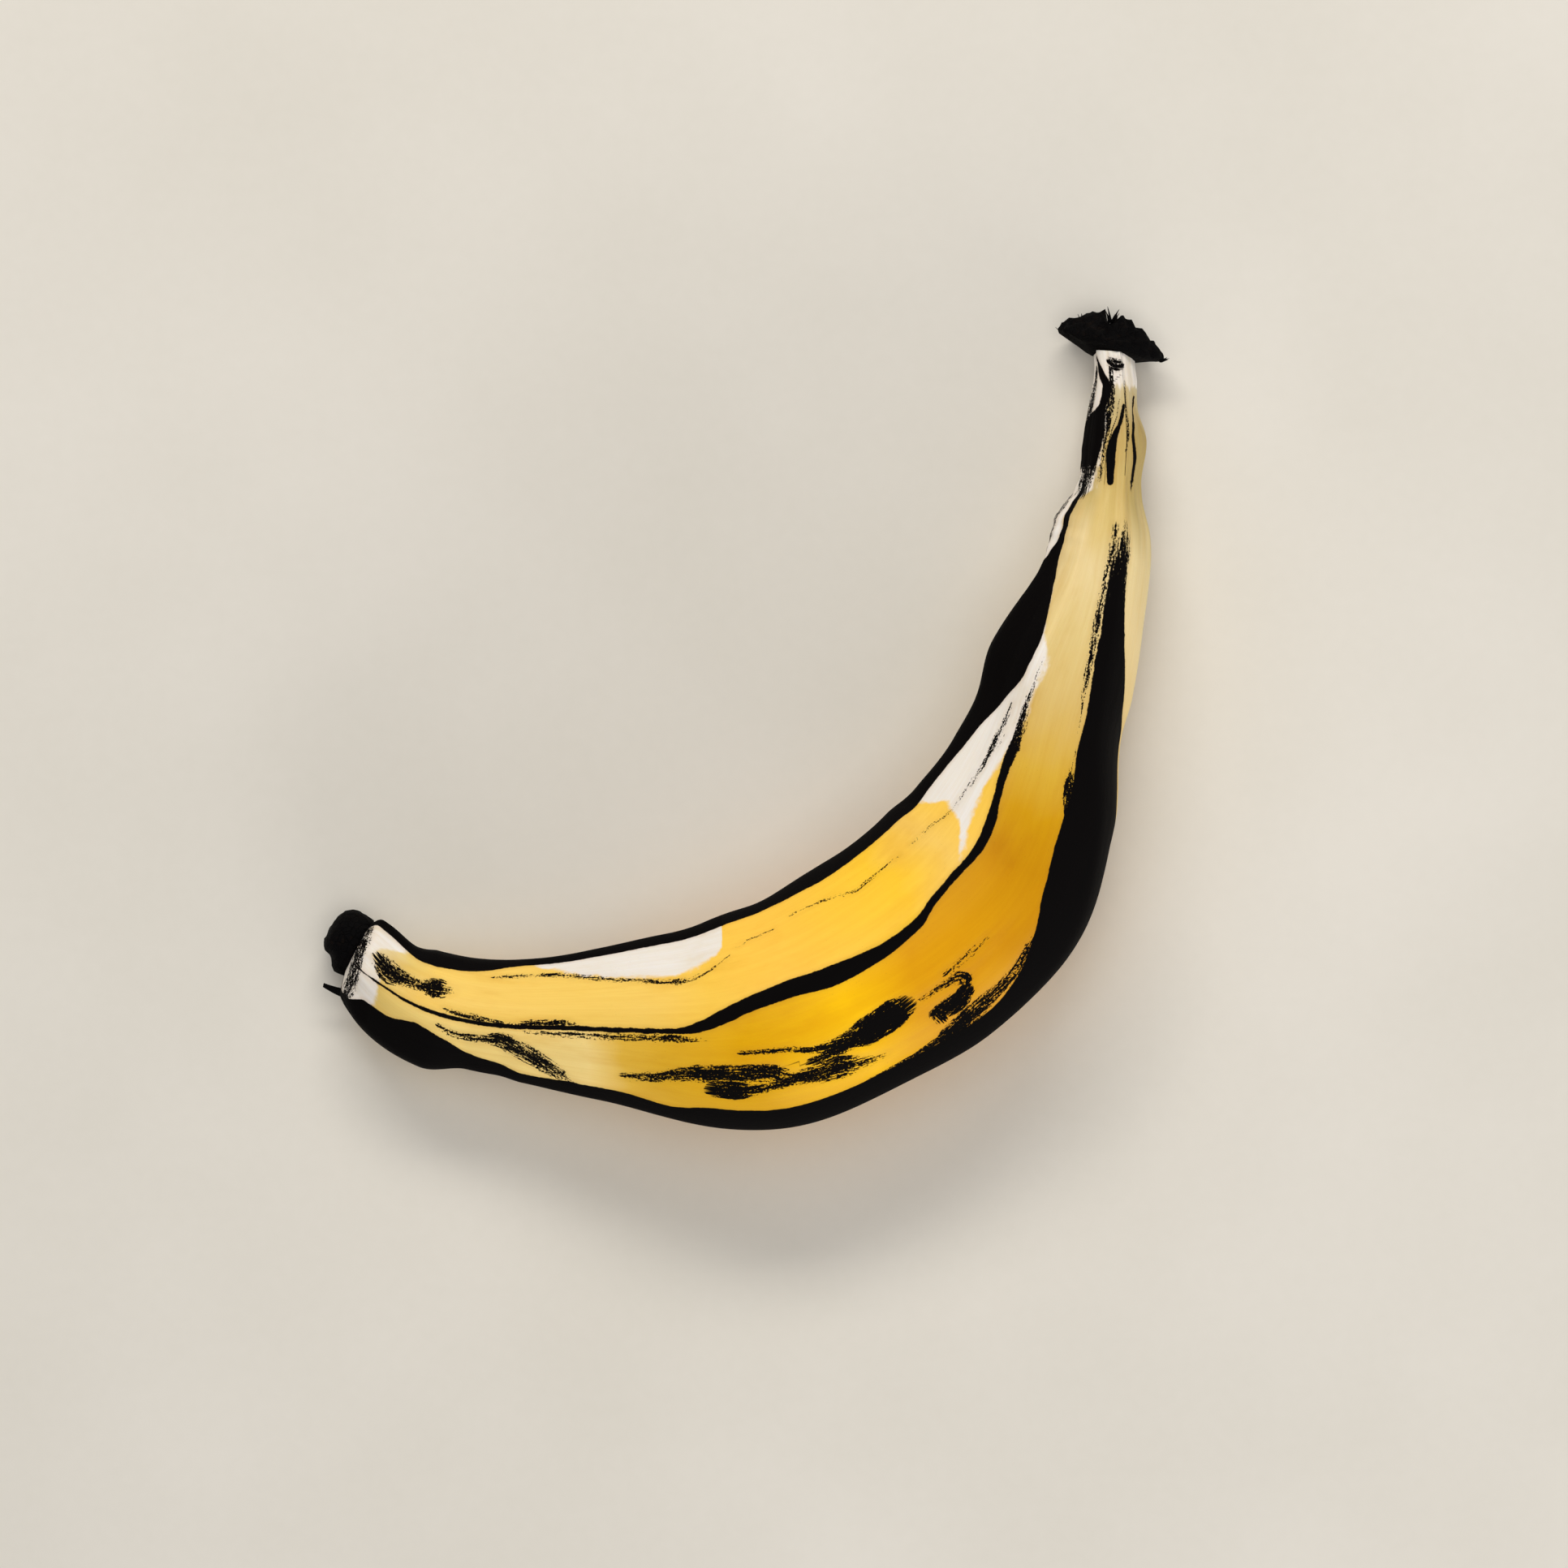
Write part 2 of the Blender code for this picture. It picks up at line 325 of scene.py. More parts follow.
# Place along the middle line, width seen from above, upright thickness.
SECTIONS = (
    (0.0, 0.0061, 0.0060),
    (0.25 * NUB_LENGTH, 0.0088, 0.0086),
    (0.55 * NUB_LENGTH, 0.0098, 0.0096),
    (0.90 * NUB_LENGTH, 0.0102, 0.0100),
    (SHOULDER + 0.05 * TAPER_LENGTH, 0.0142, 0.0140),
    (SHOULDER + 0.20 * TAPER_LENGTH, 0.0157, 0.0160),
    (SHOULDER + 0.50 * TAPER_LENGTH, 0.0180, 0.0190),
    (SLIM, 0.0207, 0.0225),
    (SLIM + 0.50 * SLIM_LENGTH, 0.0245, 0.0258),
    (BELLY, 0.0292, 0.0292),
    (BELLY + 0.26 * BELLY_LENGTH, 0.0362, 0.0342),
    (BELLY + 0.60 * BELLY_LENGTH, 0.0378, 0.0355),
    (BELLY + 0.82 * BELLY_LENGTH, 0.0370, 0.0348),
    (BELLY_END, 0.0330, 0.0320),
    (BELLY_END + 0.35 * UPPER_LENGTH, 0.0260, 0.0275),
    (BELLY_END + 0.60 * UPPER_LENGTH, 0.0242, 0.0246),
    (NECK, 0.0176, 0.0178),
    (NECK + 0.30 * NECK_LENGTH, 0.0152, 0.0152),
    (NECK + 0.55 * NECK_LENGTH, 0.0116, 0.0126),
    (STEM, 0.0093, 0.0102),
    (STEM_END, 0.0067, 0.0082),
    (CROWN_END, 0.0066, 0.0078),
)
WIDTHS = [row[:2] for row in SECTIONS]
THICKNESSES = [(row[0], row[2]) for row in SECTIONS]

# Heading of the middle line, from +X towards +Y.
HEADINGS = (
    (0.0, -33),
    (SHOULDER, -38),
    (SHOULDER + 0.20 * TAPER_LENGTH, -43),
    (SHOULDER + 0.50 * TAPER_LENGTH, -19),
    (SLIM, -2),
    (BELLY, -2),
    (BELLY + 0.26 * BELLY_LENGTH, 16),
    (BELLY + 0.53 * BELLY_LENGTH, 31),
    (BELLY + 0.80 * BELLY_LENGTH, 46),
    (BELLY_END, 66),
    (BELLY_END + 0.33 * UPPER_LENGTH, 75),
    (BELLY_END + 0.70 * UPPER_LENGTH, 69),
    (NECK, 76),
    (NECK + 0.50 * NECK_LENGTH, 84),
    (STEM, 87),
    (STEM_END, 95),
    (CROWN_END, 102),
)

# How far a section is turned from square across the middle line. The blossom end is cut
# off aslant, and so is the stem.
LEANS = (
    (0.0, 6),
    (SHOULDER, 11),
    (SHOULDER + 0.35 * TAPER_LENGTH, 0),
    (STEM, 0),
    (STEM_END, -12),
)

# Clear height under the fruit. Below zero, the table presses the skin flat.
GAPS = (
    (0.0, 0.0006),
    (SHOULDER, 0.0004),
    (SHOULDER + 0.20 * TAPER_LENGTH, -0.00015),
    (SHOULDER + 0.50 * TAPER_LENGTH, 0.0003),
    (SLIM, 0.0010),
    (BELLY, 0.0006),
    (BELLY + 0.26 * BELLY_LENGTH, -0.0005),
    (BELLY + 0.82 * BELLY_LENGTH, -0.0005),
    (BELLY_END, 0.0004),
    (BELLY_END + 0.35 * UPPER_LENGTH, 0.0011),
    (NECK, 0.0033),
    (STEM, 0.0031),
    (STEM_END, 0.0024),
    (CROWN_END, 0.0018),
)

# %% [markdown]
# ## Curves through a few rows
#
# Each table above has only the rows that its shape needs. A curve that passes through
# the rows without overshooting them gives every place between, so nothing bulges where
# two rows are close. The heading is then summed in short steps to give the middle line.

# %% Smooth values and the middle line
AXIS_STEP = 0.0005


def smooth_between(rows, where):
    """Values at the places in where, on a curve through the rows that never overshoots them."""
    places, values = np.array(rows, float).T
    steps = np.diff(places)
    slopes = np.diff(values) / steps
    tangents = np.zeros(len(values))
    for i in range(1, len(values) - 1):
        before, after = slopes[i - 1], slopes[i]
        if before * after > 0:
            tangents[i] = 2 * before * after / (before + after)
    tangents[0], tangents[-1] = slopes[0], slopes[-1]
    where = np.clip(np.asarray(where, float), places[0], places[-1])
    span = np.clip(np.searchsorted(places, where, side="right") - 1, 0, len(steps) - 1)
    t = (where - places[span]) / steps[span]
    rise = values[span + 1] - values[span]
    lead_in = steps[span] * tangents[span]
    lead_out = steps[span] * tangents[span + 1]
    eased = values[span] + rise * t**2 * (3 - 2 * t)
    return eased + lead_in * t * (1 - t) ** 2 - lead_out * t**2 * (1 - t)


def middle_line(places):
    """X and Y of the middle line, before the fruit is laid into the frame."""
    fine = np.arange(0.0, CROWN_END + AXIS_STEP, AXIS_STEP)
    heading = np.radians(smooth_between(HEADINGS, fine))
    mean = (heading[1:] + heading[:-1]) / 2
    x = np.concatenate([[0.0], np.cumsum(np.cos(mean))]) * AXIS_STEP
    y = np.concatenate([[0.0], np.cumsum(np.sin(mean))]) * AXIS_STEP
    return np.interp(places, fine, x), np.interp(places, fine, y)


def section_frame(places, lean=None):
    """At each place: the section's middle, its outward direction, half width, half thickness."""
    x, y = middle_line(places)
    turned = smooth_between(LEANS, places) if lean is None else lean
    facing = np.radians(smooth_between(HEADINGS, places) + turned)
    half_width = smooth_between(WIDTHS, places) / 2
    half_thick = smooth_between(THICKNESSES, places) / 2
    z = smooth_between(GAPS, places) + half_thick
    middle = np.stack([x, y, z], axis=-1)
    outward = np.stack([np.sin(facing), -np.cos(facing), np.zeros_like(facing)], axis=-1)
    return middle, outward, half_width, half_thick


# %% [markdown]
# ## Lay the middle line into the frame
#
# The frame moved its design so that the middle of the footprint is over the origin. The
# same move is found from the frame's own mesh: the belly gives the lowest Y, and the
# outer side of the neck gives the highest X of everything below the crown.

# %% Find the move
# The crown reaches at most this far down from the frame's highest Y.
CROWN_CLEARANCE = 0.018
PLACES_TRIED = 800
every_place = np.linspace(0.0, STEM_END, PLACES_TRIED)
middles, outwards, half_widths, _ = section_frame(every_place)
outer_side = middles + outwards * half_widths[:, None]
frame_points = np.array([vertex.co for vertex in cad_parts["banana"].data.vertices])
move_y = fruit_low.y - outer_side[:, 1].min()
neck_top = fruit_high.y - CROWN_CLEARANCE
below_crown = frame_points[frame_points[:, 1] < neck_top]
outer_below = outer_side[outer_side[:, 1] + move_y < neck_top]
move_x = below_crown[:, 0].max() - outer_below[:, 0].max()
FRAME_MOVE = np.array([move_x, move_y, 0.0])
print("The middle line starts at, mm:", (FRAME_MOVE[:2] / MM).round(2))

# %% [markdown]
# ## Five ridges
#
# A banana is five-sided while it is young, and the corners stay on as ridges. Where each
# ridge runs is given as its angle round the fruit at a few places: 0 degrees is the
# outside of the bend, 90 the top and 180 the inside.

# %% Where the ridges run: millimetres along the fruit, degrees round it
UNDER_INNER = (
    (0, -126), (20, -124), (60, -122), (110, -118), (150, -114), (180, -108), (210, -104),
)
UNDER_OUTER = (
    (0, -46), (20, -44), (60, -50), (105, -52), (130, -36), (160, -18), (180, -12), (210, -10),
)
OUTER = (
    (0, 22), (12, 24), (30, 21), (60, 17), (104, 19), (118, 30), (136, 45), (160, 60), (185, 66),
    (210, 66),
)
TOP = (
    (0, 70), (14, 76), (34, 80), (60, 85), (76, 98), (112, 101), (132, 107), (160, 113), (190, 118),
    (210, 120),
)
INNER = (
    (0, 150), (14, 150), (30, 157), (52, 166), (80, 169), (112, 168), (136, 164), (156, 160),
    (184, 170), (210, 176),
)
RIDGES = (UNDER_INNER, UNDER_OUTER, OUTER, TOP, INNER)


def degree_length(place_mm):
    """Millimetres of skin to one degree round the fruit."""
    size = smooth_between(WIDTHS, place_mm * MM) + smooth_between(THICKNESSES, place_mm * MM)
    return size / 4 / MM * math.pi / 180


# %% [markdown]
# ## Where the skin has blackened
#
# An overripe banana blackens first along its ridges, where it rubs, and then in bruises
# between them. Each black ridge is a band with a middle and a half width that swell and
# shrink. The wide band on the outer ridge is partly painted shade: it also blackens the
# flank that faces away from the light. Each bruise is a path of a few points with a half
# width, and a dryness that breaks it into the streaks of the skin's fibres.

# %% Bands: millimetres along, degrees round, half width in millimetres, and any dryness
INNER_BAND = (
    (5.5, 172, 3.0), (8, 170, 3.8), (12, 168, 4.4), (16, 166, 5.1), (24, 168, 5.2), (28, 170, 5.0),
    (36, 175, 4.4), (44, 175.5, 4.7), (52, 176, 5.1), (68, 176, 5.7), (80, 176, 5.4),
    (88, 176, 6.1), (95, 176, 6.7), (104, 176, 6.4), (112, 176, 6.3), (120, 176, 6.5),
    (126, 176, 5.8), (132, 176, 5.7), (140, 174, 6.4), (145, 167, 7.6), (150, 160, 9.1),
    (155, 159, 8.8), (160, 161, 7.4), (164, 163, 5.7), (167, 159.5, 3.8, 0.05),
    (170, 151, 1.5, 0.05), (175, 144.5, 0.65, 0.05), (180, 146.5, 0.65, 0.1), (184, 149, 0.3, 0.5),
)
# Partly painted shade: the outer band widens over the flank that faces away from the light.
OUTER_RIDGE_AND_SHADE_BAND = (
    (5.6, 2, 1.6), (8, 2, 3.4), (12, 17, 4.6), (16, 21, 5.4), (20, 26, 6.6), (24, 24, 6.2),
    (28, 17, 5.0), (32, 12, 4.9), (36, 10, 4.1), (44, 11, 4.5), (52, 11, 5.1), (59, 10, 5.2),
    (66, 12, 6.7), (75, 12, 7.0), (90, 12, 7.2), (104, 12, 7.0), (110, 16, 7.6), (115, 20, 9.6),
    (120, 25, 10.8), (125, 27, 10.9), (130, 28, 10.2), (135, 34, 7.5), (140, 34, 7.2),
    (145, 33, 6.9, 0.03), (150, 42.5, 5.0, 0.08), (155, 49.5, 3.9, 0.12), (160, 57, 2.7, 0.18),
    (165, 63, 1.9, 0.25), (170, 66, 1.5, 0.36), (174, 65, 1.4, 0.48), (178, 65, 0.8, 0.70),
)
TOP_BAND = (
    (6.3, 72, 0.12, 0.1), (11, 77, 0.18), (14, 81, 0.20), (20, 84, 0.30), (28, 85, 0.36),
    (36, 85.5, 0.38, 0.1), (44, 87, 0.42, 0.1), (52, 87.5, 0.42, 0.15), (60, 88.5, 0.45, 0.1),
    (64, 91, 0.85), (68, 95.5, 1.20), (74, 100, 1.25), (80, 101, 1.4), (86, 99, 1.6),
    (92, 97.8, 1.4), (98, 97, 1.00), (104, 98, 0.80), (109, 102, 0.62), (115, 103.5, 0.60),
    (120, 103, 0.70), (125, 104.5, 0.80), (130, 107.5, 0.65, 0.05), (135, 109.5, 0.80, 0.2),
    (140, 108.5, 0.95, 0.42), (146, 109, 0.75, 0.60), (152, 108, 0.40, 0.80), (158, 109, 0.05, 1.0),
)
UNDER_OUTER_BAND = (
    (14, -44, 0.3, 0.3), (30, -46, 0.9, 0.2), (50, -50, 0.6, 0.4), (80, -52, 1.3, 0.1),
    (104, -52, 1.6, 0.1), (122, -42, 1.0, 0.3), (145, -28, 0.6, 0.5), (170, -14, 0.3, 0.8),
)
UNDER_INNER_BAND = (
    (14, -124, 0.3, 0.3), (40, -123, 0.7, 0.4), (70, -121, 1.2, 0.1), (100, -119, 0.8, 0.4),
    (125, -117, 1.5, 0.2), (150, -114, 0.9, 0.4), (176, -109, 0.3, 0.8),
)
BANDS = {
    "inner": INNER_BAND,
    "outer": OUTER_RIDGE_AND_SHADE_BAND,
    "top": TOP_BAND,
    "under_outer": UNDER_OUTER_BAND,
    "under_inner": UNDER_INNER_BAND,
}

# %% Bruises: each is a path of (millimetres along, degrees round, half width, dryness) points
# Paths in one layer keep clear of each other, so bruises that cross are in other layers.
FIRST_BRUISES = (
    ((9.6, 99, 1.3, 0.50), (12, 97, 2.0, 0.45), (14.6, 101, 1.3, 0.50), (17.5, 105, 1.1, 0.52),
     (20.4, 109, 1.8, 0.44), (23.5, 111, 0.9, 0.70)),
    ((22.8, 74, 0.6, 0.60), (26.5, 68, 0.9, 0.56), (30.4, 70, 1.0, 0.52), (32, 71, 1.5, 0.46),
     (35, 63, 1.9, 0.50), (38, 53, 1.9, 0.46), (41.5, 40, 1.6, 0.56), (44, 33, 1.0, 0.72)),
    ((52, 49, 0.8, 0.58), (57, 53, 1.3, 0.52), (62, 60, 1.6, 0.48), (66, 62, 1.9, 0.45),
     (73, 60.5, 1.8, 0.46), (76, 54, 1.4, 0.52), (79, 52, 1.7, 0.52), (82.5, 51, 2.5, 0.47),
     (85, 48, 1.7, 0.52), (89, 45, 0.8, 0.64)),
    ((97, 65, 0.5, 0.62), (101, 64.5, 0.9, 0.56), (103.6, 63, 1.1, 0.54), (104.4, 59, 1.1, 0.54),
     (102.4, 54, 1.1, 0.54), (100.2, 54, 1.2, 0.48), (98.2, 53, 1.2, 0.44), (98.4, 48, 1.0, 0.50)),
    ((30, 135, 0.5, 0.62), (38, 139, 0.6, 0.58), (44, 135, 0.6, 0.56), (48, 130, 0.7, 0.58),
     (54, 125, 0.6, 0.58), (61, 121, 0.7, 0.56), (66, 125, 0.5, 0.64), (71, 133, 0.4, 0.68)),
    ((85, 145, 0.5, 0.72), (94, 141, 0.7, 0.66), (99, 136, 0.7, 0.66), (104, 137, 0.7, 0.66),
     (109.5, 137, 0.5, 0.72)),
    ((112.5, 137, 0.6, 0.70), (119, 136, 0.7, 0.67), (125, 131, 0.6, 0.69), (133, 129, 0.6, 0.69),
     (140, 119, 0.5, 0.70)),
    ((203.8, 150, 0.45, 0.05), (201.5, 130, 0.7, 0.0), (199.4, 112, 0.75, 0.0), (196.5, 118, 0.7, 0.0),
     (194.3, 128, 1.5, 0.05), (192, 143, 2.9, 0.08), (190, 145, 3.0, 0.12), (187.5, 146, 2.8, 0.30),
     (185, 146, 2.5, 0.46), (182.3, 144, 2.0, 0.54)),
    ((198, 24, 0.3, 0.40), (194.5, 40, 0.3, 0.20), (191.4, 50, 0.35, 0.10), (187.4, 42, 0.5, 0.05),
     (183, 47, 0.4, 0.60)),
    ((62, -88, 0.8, 0.40), (70, -80, 2.6, 0.30), (78, -84, 1.2, 0.45)),
    ((100, -150, 0.8, 0.55), (112, -146, 1.8, 0.42), (121, -150, 0.7, 0.60)),
    ((132, -70, 0.6, 0.55), (146, -62, 1.3, 0.45), (156, -60, 0.5, 0.70)),
    ((131.5, 65, 0.6, 0.54), (134.5, 66, 1.1, 0.46), (137, 66, 0.8, 0.60), (142, 66, 0.3, 0.76),
     (150, 70, 0.6, 0.60), (156, 73, 0.7, 0.54), (166, 78, 0.8, 0.56), (177, 78, 0.8, 0.60)),
)
SECOND_BRUISES = (
    ((70, 75, 0.5, 0.54), (76, 72, 0.6, 0.54), (80, 67, 0.7, 0.50), (83, 64.5, 1.3, 0.46),
     (86.5, 63.5, 2.0, 0.42), (89.5, 64, 2.8, 0.36), (92.5, 65.5, 2.7, 0.32), (94.6, 66.5, 2.1, 0.44)),
    ((66.2, 50.5, 1.7, 0.44), (68.4, 50, 2.0, 0.38), (70.5, 50, 1.2, 0.48), (73, 51, 1.0, 0.52),
     (77, 52, 1.2, 0.50), (81, 47, 0.9, 0.56)),
    ((99.2, 50, 1.0, 0.48), (101.4, 51, 1.8, 0.38), (103, 53, 1.5, 0.42)),
    ((72.5, 137, 0.5, 0.72), (77, 141, 0.6, 0.67), (81, 141, 0.5, 0.72)),
    ((196.5, 69, 0.25, 0.10), (193.6, 78, 0.35, 0.0), (191.4, 88, 0.6, 0.0), (188.5, 93, 0.85, 0.0),
     (184, 90, 0.6, 0.05)),
    ((38, -160, 0.8, 0.45), (47, -154, 1.5, 0.36), (54, -150, 0.6, 0.60)),
    ((90, -24, 0.5, 0.60), (101, -20, 1.1, 0.50), (109, -26, 0.5, 0.70)),
    # This dry streak above the top ridge is painted shade along the ridge, drawn as a bruise.
    ((23, 90, 0.5, 0.58), (28, 89.5, 0.6, 0.54), (31, 88.5, 0.5, 0.60), (34, 87, 0.5, 0.58),
     (38, 89, 0.7, 0.48), (42.5, 90, 0.7, 0.48), (45, 89, 0.4, 0.70)),
    ((160, 176, 0.8, 0.54), (166, 176, 1.3, 0.50), (172, 171, 1.1, 0.52), (181, 166, 0.9, 0.58)),
    ((202, 98, 0.7, 0.54), (196, 102, 0.9, 0.50), (190, 108, 0.7, 0.56), (184, 110, 0.5, 0.62)),
    ((145, 122, 0.5, 0.62), (138, 126, 0.9, 0.54), (130, 128, 0.5, 0.66)),
)
THIRD_BRUISES = (
    ((79.5, 60, 0.9, 0.50), (84, 61, 1.1, 0.46), (87, 62, 0.7, 0.56)),
    ((102.5, 69, 0.9, 0.62), (106, 69, 1.0, 0.66), (110.5, 69.5, 0.7, 0.70)),
    ((86, 34, 0.6, 0.62), (92, 34, 0.9, 0.50), (96.5, 35, 1.4, 0.44), (100, 38, 2.0, 0.42),
     (103, 40, 1.9, 0.46), (107, 41, 1.4, 0.52), (110.5, 44, 1.2, 0.52), (113.5, 48, 0.9, 0.58),
     (116, 52, 0.5, 0.68)),
    # This dry streak below the top ridge is painted shade along the ridge, drawn as a bruise.
    ((36, 81, 0.5, 0.64), (42, 81.5, 0.6, 0.58), (52, 82.5, 0.7, 0.56), (60, 84, 0.8, 0.54),
     (65, 84, 0.5, 0.68)),
    ((5.6, 150, 0.5, 0.64), (5.8, 130, 0.9, 0.56), (6.0, 108, 1.1, 0.50), (6.3, 90, 1.1, 0.50),
     (6.7, 74, 1.3, 0.50), (7.3, 56, 1.6, 0.50), (8.0, 40, 1.6, 0.52), (7.8, 20, 1.2, 0.58)),
    ((203.1, 66, 0.8, 0.48), (203.0, 84, 1.2, 0.42), (203.4, 100, 0.8, 0.50)),
    ((202, 160, 0.7, 0.52), (197, 162, 1.0, 0.48), (193, 166, 0.9, 0.52)),
    ((200.5, 62, 0.4, 0.62), (194, 62, 0.5, 0.58), (188, 66, 0.4, 0.66)),
)
BRUISES = {"first": FIRST_BRUISES, "second": SECOND_BRUISES, "third": THIRD_BRUISES}

# %% [markdown]
# ## How far a point of the skin is from a mark
#
# Colour that is stored on a mesh's points blurs between them, but a distance stays exact,
# because it changes evenly. So each point stores how far it is from the middle of every
# mark, with its sign, and the shader draws the edge itself, as sharp as it likes.

# %% Distances to the bands
# Past this many degrees from its middle a band narrows away, so nothing of it is drawn
# where the offset changes sign at the far side of the fruit.
FAR_DEGREES = 90
FAR_NARROWING = 0.3


def turned_from(angle, middle):
    """Degrees from one angle to another, the short way round."""
    return (angle - middle + 180) % 360 - 180


def band_field(rows, place, angle):
    """(offset, half width, dryness) of one band at each point of the skin, in millimetres."""
    table = np.array([(*row, 0.0)[:4] for row in rows], float)
    middle, half, dryness = [smooth_between(table[:, (0, column)], place) for column in (1, 2, 3)]
    turn = turned_from(angle, middle)
    half = half - FAR_NARROWING * np.maximum(np.abs(turn) - FAR_DEGREES, 0.0)
    before = np.maximum(table[0, 0] - place, 0.0)
    after = np.maximum(place - table[-1, 0], 0.0)
    return np.stack([turn * degree_length(place), half - before - after, dryness], axis=-1)


# %% Distances to the bruises
# Short steps from each point of a path to the next.
PATH_STEPS = 6
# Each path's length starts this much further on, so no two bruises have the same streaks.
PATH_GAP = 37.0
# A mark is drawn up to this far past its edge, and has faded out this much further on.
NEAR_MM = 1.3
FADE_MM = 0.6
FAR_OFF = 1e3
TINY = 1e-9


def path_steps(path):
    """A bruise's path cut into short steps: rows of place, angle, half width and dryness."""
    order = np.arange(len(path))
    fine = np.linspace(0, len(path) - 1, PATH_STEPS * (len(path) - 1) + 1)
    columns = [np.column_stack([order, column]) for column in np.array(path, float).T]
    return np.column_stack([smooth_between(column, fine) for column in columns])


def bruise_field(bruises, place, angle):
    """Nearest bruise at each point: (along, across, half width) and (nearness, past end, dryness)."""
    scale = degree_length(place)
    best = np.full(len(place), FAR_OFF)
    shape = np.zeros((len(place), 3))
    extra = np.zeros((len(place), 3))
    for number, path in enumerate(bruises):
        steps = path_steps(path)
        final = len(steps) - 2
        run = PATH_GAP * number
        for i, ((s0, a0, h0, d0), (s1, a1, h1, d1)) in enumerate(zip(steps, steps[1:])):
            step_x, step_y = s1 - s0, (a1 - a0) * scale
            off_x, off_y = place - s0, turned_from(angle, a0) * scale
            length = np.hypot(step_x, step_y) + TINY
            along = (off_x * step_x + off_y * step_y) / length
            side = (step_x * off_y - step_y * off_x) / length
            held = np.clip(along, 0.0, length)
            beyond = np.abs(along - held)
            at_end = (i == 0) & (along < 0) | (i == final) & (along > length)
            past = np.where(at_end, beyond, 0.0)
            round_bend = np.where(at_end, 0.0, beyond)
            across = np.where(round_bend > 0, np.sign(side) * np.hypot(side, round_bend), side)
            share = held / length
            half = h0 + (h1 - h0) * share
            gap = np.hypot(across, past) - half
            nearer = gap < best
            best = np.where(nearer, gap, best)
            near = 1 - np.clip((gap - NEAR_MM) / FADE_MM, 0, 1)
            shape[nearer] = np.stack([run + held, across, half], axis=-1)[nearer]
            extra[nearer] = np.stack([near, past, d0 + (d1 - d0) * share], axis=-1)[nearer]
            run += float(np.median(length))
    return shape, extra


# %% [markdown]
# ## The shape of the skin
#
# A section between two ridges is a little flatter than a circle, and the ridge itself is
# a soft corner. On top of that come the small things that make skin look grown: slow
# waves, long fibres that stand up a little, pleats where it closes round the blossom end,
# grooves on the stem, creases where the neck bends, and bruises that have sunk.

# %% Radius round a section, and what stands out of it
# The radius that patterns are drawn at, as if the fruit were straight and even.
EVEN_RADIUS = 18.0
# How far a facet's middle is inside the ridges, as a share of the radius, and its shape.
RIDGE_RELIEF = 0.092
RIDGE_EDGE = 1.7
RIDGE_ROUNDING = 0.11
RIDGE_STRENGTHS = (
    (0, 0.0), (5, 0.2), (15, 0.85), (38, 1.0), (169, 1.0), (193, 0.7), (210, 0.4),
)
# Millimetres that the two sides stand out from the even section, as grown fruit does.
OUTER_SWELL = (
    (5.6, -0.4), (7, 0.5), (16, 1.1), (22, 1.2), (28, -0.8), (32, -0.8), (36, -0.1), (41, 0.2),
    (56, -0.4), (68, -0.2), (77, 0.2), (90, -0.6), (102, 0.1), (118, 0.2), (127, -0.3), (134, 0.2),
    (146, -0.4), (152, -0.1), (163, -0.2), (172, 0.1), (184, -0.3), (191, 0.7), (196, -0.3),
    (201, 0.4),
)
INNER_SWELL = (
    (4, -0.3), (8, -1.1), (12, -1.5), (17, -0.3), (36, -0.2), (54, 0.1), (66, 0.2), (79, -0.5),
    (92, 0.1), (104, -0.1), (128, 0.2), (138, 0.1), (145, -0.6), (153, 0.5), (160, 0.3),
    (168, -0.1), (173, 0.35), (178, 0.8), (184, -0.6), (190, -0.1), (196, -0.1), (202, -0.4),
)


def noise_at(points, size, seed=0.0):
    """Smooth noise from -1 to 1 at the points, in lumps of about the given size."""
    return np.array([noise.noise(point) for point in (points / size + seed).tolist()])


def bell(value, middle, spread):
    """1 at the middle, fading smoothly to nothing a few spreads away."""
    return np.exp(-(((value - middle) / spread) ** 2))


def straightened(place_mm, angle):
    """Where each point would be if the fruit were straight and even, in millimetres."""
    turn = np.radians(angle)
    return np.stack([place_mm, EVEN_RADIUS * np.cos(turn), EVEN_RADIUS * np.sin(turn)], axis=-1)


def facet_radius(share, strength):
    """Radius between two ridges, where share runs from 0 at one to 1 at the next."""
    from_ridge = 1 - np.abs(2 * share - 1)
    rounded = np.sqrt(from_ridge**2 + RIDGE_ROUNDING**2) - RIDGE_ROUNDING
    return 1 - RIDGE_RELIEF * strength * (1 - (1 - rounded) ** RIDGE_EDGE)


# %% How far the skin stands out of its section, in millimetres
# Slow swells and small lumps: how far they stand out, their size and their seed.
SWELLS = ((0.20, 26.0, 3.1), (0.07, 8.0, 9.4))
FIBRE_RELIEF = 0.035
# The skin's end turns in under the cap.
TUCK_DEPTH, TUCK_START, TUCK_LENGTH = 1.3, 7.2, 1.6
PLEAT_RELIEF, PLEAT_PLACE, PLEAT_SPREAD = 0.16, 8.0, 3.2
PLEATS = 11
GROOVE_RELIEF = 0.42
GROOVED = ((160, 0), (186, 1), (206, 1))
CREASE_RELIEF, CREASE_PLACE, CREASE_SPREAD = 0.10, 178.0, 9.0
SUNK_RELIEF = 0.16
SUNK_SLOPE = 1.2


def sunk_marks(place_mm, angle):
    """0 to 1: how far the skin has sunk in the middle of a mark, less where it is dry."""
    depth = np.zeros(len(place_mm))
    for bruises in BRUISES.values():
        shape, extra = bruise_field(bruises, place_mm, angle)
        inside = shape[:, 2] - np.hypot(shape[:, 1], extra[:, 1])
        sunk = np.clip(inside / SUNK_SLOPE + 0.3, 0, 1)
        depth = np.maximum(depth, sunk * (1 - 0.6 * extra[:, 2]))
    return depth


